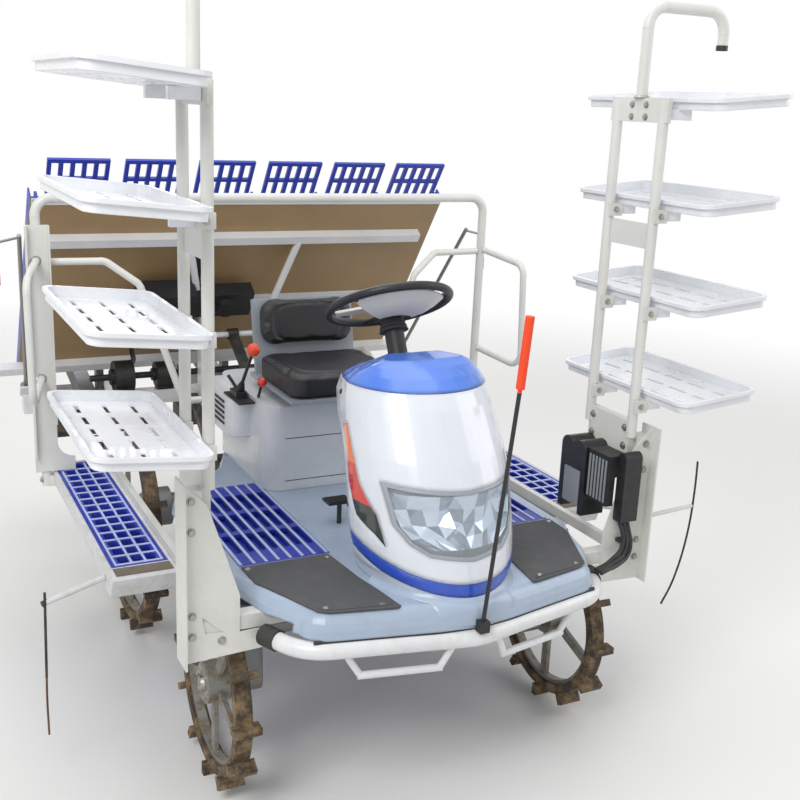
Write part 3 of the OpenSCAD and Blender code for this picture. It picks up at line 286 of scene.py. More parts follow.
def skin_at(node, start, along):
    """Where a ray from start first meets a CAD node, and the surface's direction there."""
    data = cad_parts[node].data
    tree = BVHTree.FromPolygons([v.co for v in data.vertices], [p.vertices for p in data.polygons])
    place, normal = tree.ray_cast(Vector(start), Vector(along).normalized())[:2]
    return place, normal


plugs = bmesh.new()
for side in (-1, 1):
    for y, z in ((-0.855, 1.175), (-0.975, 0.87)):
        place, normal = skin_at("hood", (side * 0.6, y, z), (-side, 0, 0))
        rod(plugs, place - normal * 0.002, place + normal * 0.0025, 0.009, 0.0075)
solid("hood_screw_plugs", plugs, black_pp)

# Headlamp: a clear polycarbonate lens in a grey surround, over a faceted aluminised reflector that
# is screwed to the hood from inside. The reflector follows the lens a little behind it.
# Fine-grained ABS: a half-shine that shows the edges and hides the seams.
grey_abs = finish("moulded_grey_abs", "#9aa1aa", 0.35, coat=0.3, edge_mm=3)
dress(grey_abs, "lamp_bezel")
# Hard-coated polycarbonate: sharp highlights on a body that is mostly seen through.
lens_skin = bpy.data.materials.new("clear_polycarbonate_lens")
lens_skin.use_nodes = True
clear = lens_skin.node_tree.nodes["Principled BSDF"]
clear.inputs["Base Color"].default_value = linear("#e3ebf4")
clear.inputs["Roughness"].default_value = 0.04
clear.inputs["Alpha"].default_value = 0.2
clear.inputs["Coat Weight"].default_value = 1.0
dress(lens_skin, "headlamp")
# Vacuum-aluminised plastic: facets like small mirrors. Some facets get a darker, duller copy of it:
# painted shade, standing in for dark surroundings reflected in them.
silver = finish("aluminised_reflector", "#cddcea", 0.16, metal=1.0, dusty=0.0, edge_mm=0.6, vary=0.1)
shade_painted_finish = finish("reflector_painted_shade", "#6f8191", 0.22, metal=0.7, dusty=0.0, edge_mm=0.6, vary=0.1)
reflector, shade_painted_facets = bmesh.new(), bmesh.new()
rows = []
lens_rows = [(0.815, 0.098), (0.838, 0.152), (0.868, 0.174), (0.912, 0.1875), (0.958, 0.193)]
lens_side_y = -1.1
for j, (z, half_width) in enumerate(lens_rows):
    row = []
    for i in range(11):
        x = half_width * (i / 5 - 1)
        place = skin_at("headlamp", (x * 0.985, -2.0, z), (0, 1, 0))[0]
        front = place.y if place else lens_side_y
        edge = i in (0, 10) or j in (0, 4)
        depth = 0.012 if edge else 0.022 + 0.018 * abs(math.sin(i * 2.3 + j * 1.7)) + 0.014 * ((i + j) % 2)
        row.append((x, front + depth, z))
    rows.append(row)
for j, (below, above) in enumerate(zip(rows, rows[1:])):
    for i in range(10):
        if i % 2:
            facets = (below[i], below[i + 1], above[i + 1]), (below[i], above[i + 1], above[i])
        else:
            facets = (below[i], below[i + 1], above[i]), (below[i + 1], above[i + 1], above[i])
        for k, facet in enumerate(facets):
            # Facets picked by this pattern take the darker finish: painted shade on the reflector.
            side = shade_painted_facets if math.sin(i * 1.9 + j * 2.7 + k * 1.1) > 0.6 else reflector
            side.faces.new([side.verts.new(corner) for corner in facet])
for name, part, look in (("lamp_reflector", reflector, silver), ("lamp_reflector_painted_shade", shade_painted_facets, shade_painted_finish)):
    bmesh.ops.remove_doubles(part, verts=part.verts, dist=0.00005)
    solid(name, part, look, angle=1)

# Side indicators: one slim moulding a side, amber above, red in the middle, smoked below. Polished
# acrylic, clipped into the hood: deep colours under a sharp shine.
dress(finish("moulded_indicator_lens", "#2c3532", 0.12, coat=0.8, dusty=0.0, edge_mm=10,
             zones=[("#d2301f", (-0.5, -1.3, 0.905), (0.5, -0.7, 1.2)),
                    ("#ee6a1c", (-0.5, -1.3, 1.005), (0.5, -0.7, 1.2))]), "side_lamps")

# Floor: one thick moulding of the same pale ABS with a rounded rim, laid on the frame and closed
# towards the bumper by a black rubber seal along the rim.
dress(pale_abs, "floor_deck")


def hose(shape, points, radius, sides=12, steps=6):
    """Adds a round tube that bends smoothly through its points."""
    points = [Vector(p) for p in points]
    ends = [points[0] * 2 - points[1]] + points + [points[-1] * 2 - points[-2]]
    path = []
    for a, b, c, d in zip(ends, ends[1:], ends[2:], ends[3:]):
        for k in range(steps):
            t = k / steps
            path.append(0.5 * (2 * b + (c - a) * t + (2 * a - 5 * b + 4 * c - d) * t * t
                               + (3 * b - a - 3 * c + d) * t ** 3))
    path.append(points[-1])
    rings = []
    side = (path[1] - path[0]).orthogonal().normalized()
    for i, place in enumerate(path):
        along = (path[min(i + 1, len(path) - 1)] - path[max(i - 1, 0)]).normalized()
        side = (side - along * side.dot(along)).normalized()
        other = along.cross(side)
        rings.append([shape.verts.new(place + (side * math.cos(a) + other * math.sin(a)) * radius)
                      for a in (2 * math.pi * k / sides for k in range(sides))])
    for one, two in zip(rings, rings[1:]):
        for k in range(sides):
            shape.faces.new((one[k], one[(k + 1) % sides], two[(k + 1) % sides], two[k]))
    shape.faces.new(rings[0])
    shape.faces.new(rings[-1])


# Moulded rubber: nearly no shine, and a fine skin drawn at 2 mm so that it shows.
rubber = finish("moulded_black_rubber", "#2c2d2f", 0.7, grain_mm=2, grain=0.3)
seal_y, seal_z = -1.352, 0.6065
seal = bmesh.new()
hose(seal, [(x, seal_y + rim_back * abs(x) / rim_half + (0.012 if abs(x) < 0.05 else 0.0), seal_z)
            for x in (-0.455, -0.40, -0.3, -0.2, -0.1, 0, 0.1, 0.2, 0.3, 0.40, 0.455)], 0.0055)
solid("floor_seal", seal, rubber)

# Tread grilles of the floor and the side steps: royal-blue polypropylene moulded with ribs, their tops
# painted paler as a highlight, dropped into the floor and the steps over a blue splash guard.


def brick(shape, low, high, turn=None):
    """Adds a box between two corners, turned as a whole if asked."""
    low, high = Vector(low), Vector(high)
    place = Matrix.Translation((low + high) / 2) @ Matrix.Diagonal((*(high - low), 1))
    bmesh.ops.create_cube(shape, size=1, matrix=turn @ place if turn else place)


# Polypropylene: a waxy half-shine over a fine 2 mm grain.
blue_pp = finish("moulded_royal_blue_polypropylene", "#2136a8", 0.38, grain_mm=2, grain=0.15, dusty=0.2)
dress(blue_pp, "tread_grilles")
floor_mid, step_mid = 0.3925, 0.7725
tread_z, step_z = 0.6799, 0.6399
treads, guards = bmesh.new(), bmesh.new()
for side in (-1, 1):
    for k in range(8):
        x = side * (0.2585 + 0.0385 * k if k in (0, 7) else 0.2595 + 0.038 * k)
        brick(treads, (x - 0.0045, -0.874, tread_z), (x + 0.0045, -0.231, tread_z + 0.0025))
    for x in (0.7035, 0.7515, 0.7935, 0.8415):
        brick(treads, (side * x - 0.0035, -0.655, step_z), (side * x + 0.0035, 0.306, step_z + 0.0013))
    for k in range(15):
        x, y = side * step_mid, -0.6545 + 0.064 * k
        brick(treads, (x - 0.072, y - 0.005, step_z), (x + 0.072, y + 0.005, step_z + 0.0017))
    for x, half, front, rear, low, high in ((floor_mid, 0.142, -0.88, -0.225, 0.6605, 0.662),
                                            (step_mid, 0.088, -0.67, 0.32, 0.604, 0.606)):
        brick(guards, (side * x - half, front, low), (side * x + half, rear, high))
# The ribs' tops are painted paler than the grille, a painted highlight, with the same half-shine.
solid("grille_ribs", treads, finish("grille_ribs_painted_highlight", "#b7c4e6", 0.35, dusty=0.15))
solid("splash_guards", guards, blue_pp)

# Floor mats: pressed charcoal rubber, held by four plated screws each, with a raised rib along the
# front edge. The rubber is dull, with a 3 mm texture and a little dried mud in it.
mat_rubber = finish("ribbed_charcoal_rubber", "#4a4c4f", 0.72, grain_mm=3, grain=0.5, dusty=0.16)
dress(mat_rubber, "floor_mats")
# Zinc plating: dull silver with soft reflections.
zinc = finish("zinc_plated_steel", "#a7a59c", 0.38, metal=1.0, dusty=0.1)
screws, ribs = bmesh.new(), bmesh.new()
for side in (-1, 1):
    for x, y in ((0.255, -1.255), (0.408, -1.222), (0.52, -0.912), (0.272, -0.912)):
        rod(screws, (side * x, y, 0.684), (side * x, y, 0.6868), 0.0085, 0.007, sides=14)
    hose(ribs, [(side * x, y, 0.6845) for x, y in ((0.232, -1.268), (0.32, -1.253), (0.40, -1.238),
                                                    (0.43, -1.215))], 0.003, sides=8)
solid("mat_screws", screws, zinc)
solid("mat_ribs", ribs, mat_rubber)

# Bumper: bent steel tube with two welded step loops, bolted to the main beams, rubber caps on its
# ends. White powder coat: an even gloss with a slight orange-peel, drawn at 2 mm.
white_paint = finish("white_powder_coat", "#dfe0e2", 0.3, coat=0.2, grain_mm=2, grain=0.06, edge_mm=2)
dress(white_paint, "bumper")
dress(rubber, "bumper_caps")

# Racks and rear rail: steel tube and folded sheet, bolted at their feet and clamped at each arm.
# The same powder coat as on the bumper, aged to a warmer and duller white.
cream_paint = finish("cream_powder_coat", "#d9d9d4", 0.35, grain_mm=2, grain=0.06, dusty=0.1)
dress(cream_paint, "outriggers", "rear_rail", "rail_plate", "rack_frames")


def bolt(shape, at, along, size=0.007):
    """Adds a hexagon head on its washer; size is half the head's width."""
    at, along = Vector(at), Vector(along).normalized()
    rod(shape, at - along * size * 0.3, at + along * size * 0.25, size * 1.5, sides=18)
    rod(shape, at + along * size * 0.25, at + along * size * 0.95, size * 1.12, size * 1.02, sides=6)


post_x, front_post_y, rear_post_y, clamp_half = 0.694, -1.08, -0.865, 0.024
foot_face_y = -1.0935
bolts, clamps, caps = bmesh.new(), bmesh.new(), bmesh.new()
for side in (-1, 1):
    for y, outward in ((-1.055, 0.05), (-0.89, -0.05)):
        for z in (0.975, 1.035):
            bolt(bolts, (side * 0.679, y, z), (-side, 0, 0), 0.008)
        for z in (1.985, 2.02):
            bolt(bolts, (side * 0.678, y + outward, z), (-side, 0, 0), 0.007)
    for x, z in ((0.737, 0.60), (0.737, 0.66), (0.737, 0.90), (0.737, 0.985), (0.655, 0.575)):
        bolt(bolts, (side * x, foot_face_y, z), (0, -1, 0), 0.008)
    x = side * post_x
    for arm_z in (1.138, 1.432, 1.726):
        for y in (front_post_y, rear_post_y):
            brick(clamps, (x - clamp_half, y - clamp_half, arm_z - 0.045),
                  (x + clamp_half, y - 0.0165, arm_z - 0.005))
            bolt(bolts, (x, y - clamp_half, arm_z - 0.025), (0, -1, 0), 0.0065)
    brick(clamps, (side * 0.6865 - 0.002, -1.062, 1.60), (side * 0.6865 + 0.002, -0.883, 1.675))
    rod(caps, (side * 0.975, -0.97, 2.19), (side * 0.975, -0.97, 2.205), 0.0182)
    rod(bolts, (side * 0.685, -0.97, 2.0405), (side * 0.685, -0.97, 2.047), 0.026, 0.019)
    bolt(bolts, (side * 0.911, 0.25, 0.612), (side, 0, 0), 0.008)
solid("rack_bolts", bolts, zinc)
solid("rack_clamps", clamps, cream_paint)
solid("rack_pole_caps", caps, black_pp)

# Rack trays: injection-moulded white polypropylene with a broad lip and long slots, hooked over the
# rack's arms. It is shiny, slightly blue in the shade, and clean.
tray_pp = finish("moulded_white_polypropylene", "#e9ebef", 0.28, coat=0.3, edge_mm=4, dusty=0.05)
dress(tray_pp, "rack_trays")

# Side steps: white polypropylene mouldings on the step rails, worn dull and dusty by boots, with a
# grey-brown rubber strip across the front of each tread that has lost all its shine.
dress(finish("moulded_white_polypropylene_worn", "#d6d8da", 0.4, edge_mm=5, dusty=0.3), "side_steps")
strips = bmesh.new()
for side in (-1, 1):
    brick(strips, (side * step_mid - 0.084, -0.735, 0.640), (side * step_mid + 0.084, -0.682, 0.6425))
solid("step_strips", strips, finish("worn_brown_rubber", "#6b6259", 0.8, grain_mm=3, grain=0.5, dusty=0.5))

# Two-hump case beside the left rack: black polypropylene, a pale ribbed liner inside, and three
# moulded hoses that are clipped in front of the gusset and end under the floor's rim.
# The case comes from a polished mould: deep black with a clear, narrow shine. The liner is dull.
dress(finish("moulded_black_polypropylene_gloss", "#15161a", 0.3, coat=0.3, edge_mm=6), "side_case")
liner = bmesh.new()
brick(liner, (0.592, -0.961, 0.745), (0.596, -0.877, 0.865))
for k in range(7):
    y = -0.957 + 0.0125 * k
    brick(liner, (0.5905, y, 0.748), (0.5925, y + 0.006, 0.862))
cover = bmesh.new()
brick(cover, (0.634, -1.134, 0.745), (0.698, -1.0945, 0.952))
rod(cover, (0.6343, -1.1142, 0.952), (0.6977, -1.1142, 0.952), 0.0195, sides=32)
brick(cover, (0.600, -1.094, 0.885), (0.6725, -0.9855, 0.955))
brick(cover, (0.600, -1.094, 0.79), (0.628, -0.9855, 0.885))
solid("case_cover", cover, black_pp)
for k in range(6):
    y = -1.085 + 0.0165 * k
    brick(liner, (0.5975, y, 0.80), (0.600, y + 0.008, 0.94))
solid("case_liner", liner, finish("moulded_pale_grey_liner", "#8f959a", 0.5))
hoses = bmesh.new()
for k in range(3):
    o = 0.014 * k
    hose(hoses, [(0.646 + o, -1.112, 0.765), (0.650 + o, -1.114, 0.735), (0.664 + o * 1.2, -1.118, 0.69 - o),
                 (0.656 + o, -1.122, 0.645 - o), (0.615, -1.135 - o, 0.626 - o / 3),
                 (0.575, -1.15 - o, 0.618), (0.53, -1.165 - o, 0.616)], 0.0068)
brick(hoses, (0.650, -1.118, 0.669), (0.696, -1.098, 0.681))
solid("case_hoses", hoses, rubber)

# Markers: a black steel rod with an orange-red sleeve in front; white arms with black rods beside,
# the right one with a rusty wire end, and a thin whip on a white arm bolted to the left rack's foot.
# Half-gloss paint and a plastic sleeve give each rod one narrow highlight.
dress(finish("black_rod_and_orange_sleeve", "#202124", 0.45, dusty=0.05, edge_mm=1,
             zones=[("#f0481c", (-1, -2, 1.289), (1, 0, 3))]), "centre_marker")
dress(finish("white_arm_and_black_rod", "#d5d6d6", 0.4, dusty=0.2,
             zones=[("#232326", (1.047, -2, 0), (2, 2, 2)), ("#232326", (-2, -2, 0), (-1.047, 2, 2))]),
      "side_markers")

tips, whip = bmesh.new(), bmesh.new()
hose(tips, [(-1.0557, -0.68, 0.345), (-1.0575, -0.68, 0.25), (-1.0565, -0.679, 0.14)], 0.0032, sides=8)
hose(whip, [(1.053, -1.0, 0.86), (1.055, -1.0, 0.76), (1.052, -0.998, 0.64), (1.040, -0.992, 0.52),
            (1.015, -0.985, 0.41), (0.985, -0.975, 0.33)], 0.0035, sides=8)
rod(whip, (0.744, -1.06, 0.715), (1.05, -1.0, 0.70), 0.0085, 0.007)
rod(whip, (0.742, -1.0605, 0.7151), (0.752, -1.0585, 0.7146), 0.014)
# Bare spring steel under rust: brown and uneven, with a dull metal shine.
rusty_wire = finish("rusty_spring_wire", "#5f4636", 0.6, metal=0.4, dusty=0.3)
solid("side_marker_tip", tips, rusty_wire)
whip_paint = finish("black_whip_on_white_arm", "#232326", 0.45, dusty=0.1,
                    zones=[("#d5d6d6", (0.7, -1.1, 0.69), (1.0465, -0.9, 0.73))])
solid("front_whip_marker", whip, whip_paint)

# Engine cover: one white ABS moulding over the engine, with a shut line, black louvres and a filler
# cap. It lifts off; a grey seat pan stands on it.
# Satin ABS with wide rounded edges and some dust low down.
cover_abs = finish("moulded_white_abs_satin", "#dfe2e5", 0.32, coat=0.3, edge_mm=7, dusty=0.12)
dress(cover_abs, "engine_cover")
dress(grey_abs, "seat_shell")
louvres, lines = bmesh.new(), bmesh.new()
for side in (-1, 1):
    for z in (0.86, 0.88, 0.90, 0.92, 0.94):
        brick(louvres, (side * 0.3255 - 0.002, -0.08, z), (side * 0.3255 + 0.002, 0.10, z + 0.009))
for z in (0.868, 0.715):
    brick(lines, (-0.19, -0.3358, z), (0.19, -0.3346, z + 0.0025))
rod(louvres, (0.25, 0.12, 0.9645), (0.25, 0.12, 0.984), 0.036, 0.032, sides=28)
solid("cover_louvres", louvres, black_pp)
# A shut line is a narrow dark gap with no shine.
solid("cover_shut_lines", lines, finish("shadow_gap", "#3b3f44", 0.8, dusty=0.0))

# Controls: lever with an orange-red ball through a black gate, a second red knob, and two pedals
# with ribbed pads. Painted steel rods and moulded balls, which shine like lacquer.
dress(finish("black_levers_and_orange_ball", "#1c1d20", 0.4, coat=0.3, dusty=0.1,
             zones=[("#ee4a22", (-0.4, -0.35, 1.142), (-0.2, -0.1, 1.3))]), "controls")
gate, knob = bmesh.new(), bmesh.new()
brick(gate, (-0.315, -0.21, 0.966), (-0.245, -0.04, 0.972))
rod(gate, (-0.285, -0.12, 0.985), (-0.282, -0.15, 1.03), 0.022, 0.008)
rod(gate, (-0.285, -0.118, 0.99), (-0.315, -0.09, 1.045), 0.006)
rod(gate, (-0.24, -0.19, 0.972), (-0.236, -0.215, 1.03), 0.005)
bmesh.ops.create_uvsphere(knob, u_segments=20, v_segments=14, radius=0.017,
                          matrix=Matrix.Translation((-0.235, -0.22, 1.045)))
for side in (-1, 1):
    for k in range(5):
        y = -0.675 + 0.011 * k
        brick(gate, (side * 0.13 - 0.036, y, 0.754), (side * 0.13 + 0.036, y + 0.006, 0.7565))
solid("lever_gate", gate, black_pp)
solid("choke_knob", knob, finish("moulded_red_knob", "#d8352a", 0.3, coat=0.5, dusty=0.0))

# Seat: foam cushions under black vinyl, sewn round the edge. Each is a slightly smaller copy of its
# CAD solid, blown up as cloth, and its seams are drawn in afterwards.
# Embossed vinyl: leather-like grain of 2.5 mm and a soft sheen on the swells.
vinyl = finish("black_seat_vinyl", "#1c1d20", 0.42, grain_mm=2.5, grain=0.45, dusty=0.05, edge_mm=0.5)


def stuffed(name, node, shrink, cap, seams):
    """Blows a copy of a CAD solid up as cloth, caps its swelling and draws seams into it. A seam is
    its depth, its width, a function of distance from it and the way that it is pulled."""
    made = bpy.data.objects.new(name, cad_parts[node].data.copy())
    bpy.context.scene.collection.objects.link(made)
    low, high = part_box(node)
    middle = (Vector(low) + Vector(high)) / 2
    for v in made.data.vertices:
        v.co = middle + Vector([c * s for c, s in zip(v.co - middle, shrink)])
    remesh = made.modifiers.new("voxels", "REMESH")
    remesh.mode = "VOXEL"
    remesh.voxel_size = 0.006
    scene = bpy.context.scene
    flat = bpy.data.meshes.new_from_object(made.evaluated_get(bpy.context.evaluated_depsgraph_get()))
    made.modifiers.clear()
    made.data = flat
    rest = [v.co.copy() for v in flat.vertices]
    cloth = made.modifiers.new("air", "CLOTH")
    cloth.settings.use_pressure = True
    cloth.settings.uniform_pressure_force = 4
    cloth.settings.effector_weights.gravity = 0
    for step in range(1, 21):
        scene.frame_set(step)
    blown = made.evaluated_get(bpy.context.evaluated_depsgraph_get()).data
    moved = [v.co.copy() for v in blown.vertices]
    made.modifiers.clear()
    scene.frame_set(1)
    for v, old, new in zip(flat.vertices, rest, moved):
        step = new - old
        v.co = old + step * min(1, cap / max(step.length, 1e-9))
    for v in flat.vertices:
        for depth, width, distance, pull in seams:
            v.co += Vector(pull) * depth * math.exp(-(distance(v.co) / width) ** 2)
    made.data.shade_smooth()
    finer = made.modifiers.new("finer", "SUBSURF")
    finer.levels = finer.render_levels = 1
    made.data.materials.clear()
    made.data.materials.append(vinyl)
    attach(made, "chassis")
    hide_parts(node)
    return made


def off_frame(co, middle, half, axis):
    """Distance from a rounded frame line on the cushion's face, seen along an axis."""
    sides = [i for i in range(3) if i != axis]
    across = sum((abs(co[i] - middle[i]) / half[i]) ** 4 for i in sides) ** 0.25
    return abs(across - 1) * min(half[i] for i in sides)


# Distances from the seams: the frame sewn on the cushion's top, the line round its side, and the
# frame sewn on the back's front face.
def cushion_line(co):
    return off_frame(co, (0, -0.25, 0), (0.155, 0.14, 1), 2) if co.z > 1.07 else 1


def cushion_side(co):
    return co.z - 1.058


def back_line(co):
    return off_frame(co, (0, 0, 1.215), (0.13, 1, 0.065), 1) if co.y < -0.03 else 1


stuffed("seat_cushion_vinyl", "seat_cushion", (0.96, 0.96, 0.82), 0.010,
        [(0.004, 0.004, cushion_line, (0, 0, -1)), (0.003, 0.003, cushion_side, (0, 0, -0.4))])
stuffed("seat_back_vinyl", "seat_back", (0.96, 0.9, 0.95), 0.009, [(0.004, 0.004, back_line, (0, 1, 0.2))])

# Steering wheel: steel core under black polyurethane, a broad pale spoke cover and a black boot
# where the column leaves the hood.
# Polyurethane foamed over the core: a soft satin with a fine 1.5 mm grain.
dress(finish("black_polyurethane_rim", "#1d1e21", 0.38, grain_mm=1.5, grain=0.2, dusty=0.03),
      "steering_wheel")
# Light grey ABS, matt enough to show the dish as one soft shade.
spoke_abs = finish("moulded_light_grey_spoke", "#d9d5c9", 0.35, coat=0.2, edge_mm=5, dusty=0.05)
dress(spoke_abs, "steering_pad")
dress(black_pp, "steering_column")
switches = bmesh.new()
for x, r in ((-0.075, 0.011), (0.075, 0.011), (-0.045, 0.007), (0.045, 0.007)):
    place, normal = skin_at("hood_top", (x, -0.60, 1.238), (0, -1, 0))
    rod(switches, place - normal * 0.003, place + normal * 0.004, r * 1.5, r * 1.3, sides=24)
    rod(switches, place, place + normal * 0.014, r, r * 0.85, sides=20)
solid("dash_switches", switches, black_pp)
column_tilt = math.radians(28)
col = Vector((0, math.sin(column_tilt), math.cos(column_tilt)))
hub = Vector((0, -0.71, 1.395))
boot, cap, dish = bmesh.new(), bmesh.new(), bmesh.new()
tilted = Matrix.Translation(hub) @ Matrix.Rotation(-column_tilt, 4, "X")
shells = []
for lift in (0, 0.003):
    shells.append([[dish.verts.new(tilted @ Vector((r * math.sin(a), -r * math.cos(a), z + lift)))
                    for r, z in ((0.060, -0.052), (0.095, -0.046), (0.135, -0.030), (0.168, -0.010))]
                   for a in (math.radians(-62 + 124 * k / 24) for k in range(25))])
for shell in shells:
    for one, two in zip(shell, shell[1:]):
        for k in range(3):
            dish.faces.new((one[k], one[k + 1], two[k + 1], two[k]))
low_shell, high_shell = shells
for k in range(3):
    for i in (0, 24):
        dish.faces.new((low_shell[i][k], low_shell[i][k + 1], high_shell[i][k + 1], high_shell[i][k]))
for i in range(24):
    for k in (0, 3):
        dish.faces.new((low_shell[i][k], low_shell[i + 1][k], high_shell[i + 1][k], high_shell[i][k]))
for k in range(4):
    low, r = 0.085 - 0.012 * k, 0.046 - 0.003 * k
    rod(boot, hub - col * low, hub - col * (low - 0.012), r, r - 0.006, sides=28)
rod(cap, hub + col * 0.0125, hub + col * 0.0165, 0.038, 0.034, sides=32)
solid("column_boot", boot, rubber)
solid("wheel_dish", dish, spoke_abs, body="steering")
solid("wheel_cap", cap, grey_abs, body="steering")

# Wheels: ribbed rubber over a steel rim, caked with dried mud; spokes are painted steel with mud on
# them, and each hub has a ring of bolts.
# Dried mud: dull and lumpy at 14 mm on the rubber, 12 mm on the steel, thicker near the ground.
mud_rubber = finish("rubber_under_dried_mud", "#463c31", 0.85, grain_mm=14, grain=1.0, vary=0.25,
                    dust="#8a7355", dusty=0.95, edge_mm=5)
mud_steel = finish("painted_steel_under_mud", "#8a8a84", 0.6, metal=0.2, grain_mm=12, grain=0.6, vary=0.15,
                   dust="#75603f", dusty=0.7, edge_mm=3)
nut_circle = 0.043
for wheel, y, z, face in (("front", -0.85, 0.31, 0.636), ("rear", 0.25, 0.45, 0.638)):
    for side, sign in (("l", 1), ("r", -1)):
        dress(mud_rubber, f"{wheel}_tyre_{side}")
        dress(mud_steel, f"{wheel}_hub_{side}")
        nuts = bmesh.new()
        for k in range(6):
            turn = math.radians(60 * k + 15)
            at = (sign * face, y + nut_circle * math.cos(turn), z + nut_circle * math.sin(turn))
            bolt(nuts, at, (sign, 0, 0), 0.0075)
        rod(nuts, (sign * face, y, z), (sign * (face + 0.012), y, z), 0.024, 0.02)
        solid(f"{wheel}_hub_bolts_{side}", nuts, zinc, body=f"{wheel}_wheel_{side}")

# Chassis: black-painted steel beams and drawbar; cast aluminium axle cases with bolted flanges.
# Chassis paint: half-matt black, greyed by dust.
black_paint = finish("black_chassis_paint", "#26272a", 0.5, dusty=0.45)
dress(black_paint, "main_frame", "tow_plate", "lower_links", "upper_link", "lift_barrel")
# Sand-cast aluminium: a rough grey skin of 3 mm grain with a faint metal shine.
cast = finish("sand_cast_aluminium", "#7c7f83", 0.55, metal=0.7, grain_mm=3, grain=0.35, dusty=0.5, edge_mm=6)
dress(cast, "transmission_case", "rear_axle", "engine_block", "front_knuckle_l", "front_knuckle_r",
      "planting_cases", "planting_rotors")
# Ground and hard-chromed steel: a clean mirror.
dress(finish("ground_chrome_rod", "#c9ccd0", 0.12, metal=1.0, dusty=0.0), "lift_rod")
axle_y, axle_z, flange_circle = 0.25, 0.45, 0.062
flanges = bmesh.new()
for side in (-1, 1):
    for k in range(8):
        turn = math.radians(45 * k + 22)
        at = (side * 0.505, axle_y + flange_circle * math.cos(turn), axle_z + flange_circle * math.sin(turn))
        bolt(flanges, at, (side, 0, 0), 0.006)
    for k in range(4):
        for z in (0.52, 0.43):
            bolt(flanges, (side * 0.12, -0.99 + 0.105 * k, z), (side, 0, 0), 0.007)
solid("axle_bolts", flanges, zinc)

# Planting unit: white frame, black floats, blue seedling table with its underside painted tan as shade
# lit by light off the mud, black belts with ribs, and black gear cases on the beam below the table.
dress(white_paint, "planting_frame", "table_rails", "planting_arms_a", "planting_arms_b")
# Blow-moulded polyethylene: waxy black, greyed by dust, with a 3 mm grain.
dress(finish("moulded_black_polyethylene", "#1f2022", 0.6, grain_mm=3, grain=0.3, dusty=0.5, edge_mm=6),
      "floats")
slope = math.radians(54)
down = Vector((0, math.cos(slope), -math.sin(slope)))
out = Vector((0, math.sin(slope), math.cos(slope)))
# Moulded sheet: half-glossy blue where the mats slide. Its downward side is painted tan: painted shade,
# tinted by light reflected off the mud.
dress(finish("blue_sheet_painted_shade_underside", "#2438a4", 0.4, dusty=0.2, under=("#a08560", tuple(out))),
      "seedling_table")
dress(blue_pp, "table_combs")
dress(rubber, "feed_belts")
beam_y = 0.934
foot = Vector((0, beam_y + 0.192, 0.807))
top = foot - down * 0.98
on_table = Matrix.Translation(top) @ Matrix((Vector((1, 0, 0)), down, out)).transposed().to_4x4()
belt_ribs, table_trim, gears, lane_ribs, guide = (bmesh.new() for _ in range(5))
hoop = [(-0.128, 0.0, 0.040), (-0.120, 0.0, 0.055), (-0.06, 0.012, 0.058), (0.06, 0.012, 0.058),
        (0.120, 0.0, 0.055), (0.128, 0.0, 0.040)]
for lane in range(6):
    x = (lane - 2.5) * 0.28
    for k in range(9):
        u = 0.797 + 0.016 * k
        brick(belt_ribs, (x - 0.088, u, 0.020), (x + 0.088, u + 0.006, 0.024), on_table)
    for o in (-0.093, -0.047, 0.0, 0.047, 0.093):
        brick(lane_ribs, (x + o - 0.002, 0.02, 0.0118), (x + o + 0.002, 0.775, 0.0152), on_table)
    for u in (0.33, 0.62):
        hose(guide, [on_table @ Vector((x + o, u + f, w)) for o, f, w in hoop], 0.003, sides=8, steps=4)
for start, end in ((0.0, 0.03), (0.56, 0.60)):
    brick(table_trim, (-0.86, start, -0.004), (0.86, end, -0.0005), on_table)
solid("lane_ribs", lane_ribs, blue_pp, body="table")
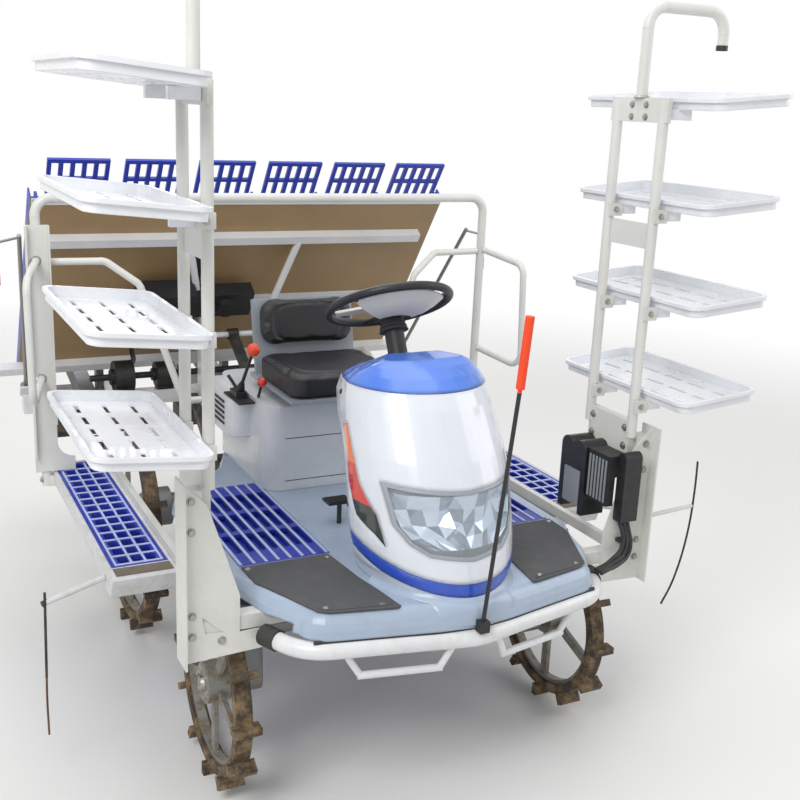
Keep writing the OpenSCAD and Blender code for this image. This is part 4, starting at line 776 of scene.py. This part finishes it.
# Drawn stainless wire: bright and clean, with thin highlights.
wire = finish("stainless_wire", "#b9bcbf", 0.25, metal=1.0, dusty=0.0)
solid("seedling_guides", guide, wire, body="table")
solid("belt_ribs", belt_ribs, rubber, body="table")
solid("table_trim", table_trim, white_paint, body="table")
shaft_z = 0.80
for x, r in ((-0.46, 0.07), (-0.28, 0.055), (0.3, 0.06)):
    rod(gears, (x - 0.04, beam_y, shaft_z), (x + 0.04, beam_y, shaft_z), r, sides=28)
    rod(gears, (x - 0.055, beam_y, shaft_z), (x - 0.04, beam_y, shaft_z), r * 0.5, sides=20)
    brick(gears, (x - 0.035, beam_y - 0.028, shaft_z - 0.065), (x + 0.035, beam_y + 0.028, shaft_z))
rod(gears, (-0.60, beam_y, shaft_z), (0.36, beam_y, shaft_z), 0.014)
for low, high in (((-0.44, 0.40, -0.150), (-0.20, 0.62, -0.050)),
                  ((-0.20, 0.43, -0.120), (0.06, 0.56, -0.050))):
    brick(gears, low, high, on_table)
for x, u, r, deep, boss in ((-0.37, 0.47, 0.055, -0.185, -0.17), (-0.26, 0.55, 0.042, -0.185, -0.17),
                            (-0.06, 0.495, 0.040, -0.150, -0.13)):
    rod(gears, on_table @ Vector((x, u, deep)), on_table @ Vector((x, u, -0.10)), r, sides=32)
    rod(gears, on_table @ Vector((x, u, deep - 0.007)), on_table @ Vector((x, u, boss)), r * 0.45)
hose(gears, [on_table @ Vector(c) for c in ((-0.42, 0.60, -0.10), (-0.44, 0.68, -0.11), (-0.42, 0.78, -0.10),
                                            (-0.40, 0.86, -0.08), (-0.40, 0.93, -0.05))], 0.011)
brick(gears, (-0.21, 0.19, -0.048), (-0.17, 0.60, -0.0405), on_table)
solid("feed_drive", gears, black_pp, body="planting_unit")
rotor_y, rotor_z, arm_reach = 1.310, 0.770, 0.1
for arms, sign in (("a", 1), ("b", -1)):
    claws = bmesh.new()
    for x in (-0.6, 0, 0.6):
        for s in (-1, 1):
            at = Vector((x + s * 0.1453, rotor_y, rotor_z + sign * arm_reach))
            for o in (-0.0045, 0.0045):
                start, end = at + Vector((o, -0.10, -0.067)), at + Vector((o, -0.151, -0.101))
                rod(claws, start, end, 0.003, 0.0015, sides=8)
            rod(claws, at + Vector((s * 0.0175, 0, 0)), at + Vector((s * 0.024, 0, 0)), 0.013)
    solid(f"arm_claws_{arms}", claws, zinc, body=f"arms_{arms}")
# Line markers: zinc-plated rods hinged to the planting frame, each with a tip dipped in red plastic.
for side, sign in (("l", 1), ("r", -1)):
    dress(finish(f"plated_marker_with_red_tip_{side}", "#8f918f", 0.4, metal=0.6, dusty=0.1,
                 zones=[("#d8342a", (sign * 1.011 - 0.03, 0.38, 1.29), (sign * 1.011 + 0.03, 0.49, 1.36))]),
          f"line_marker_{side}")
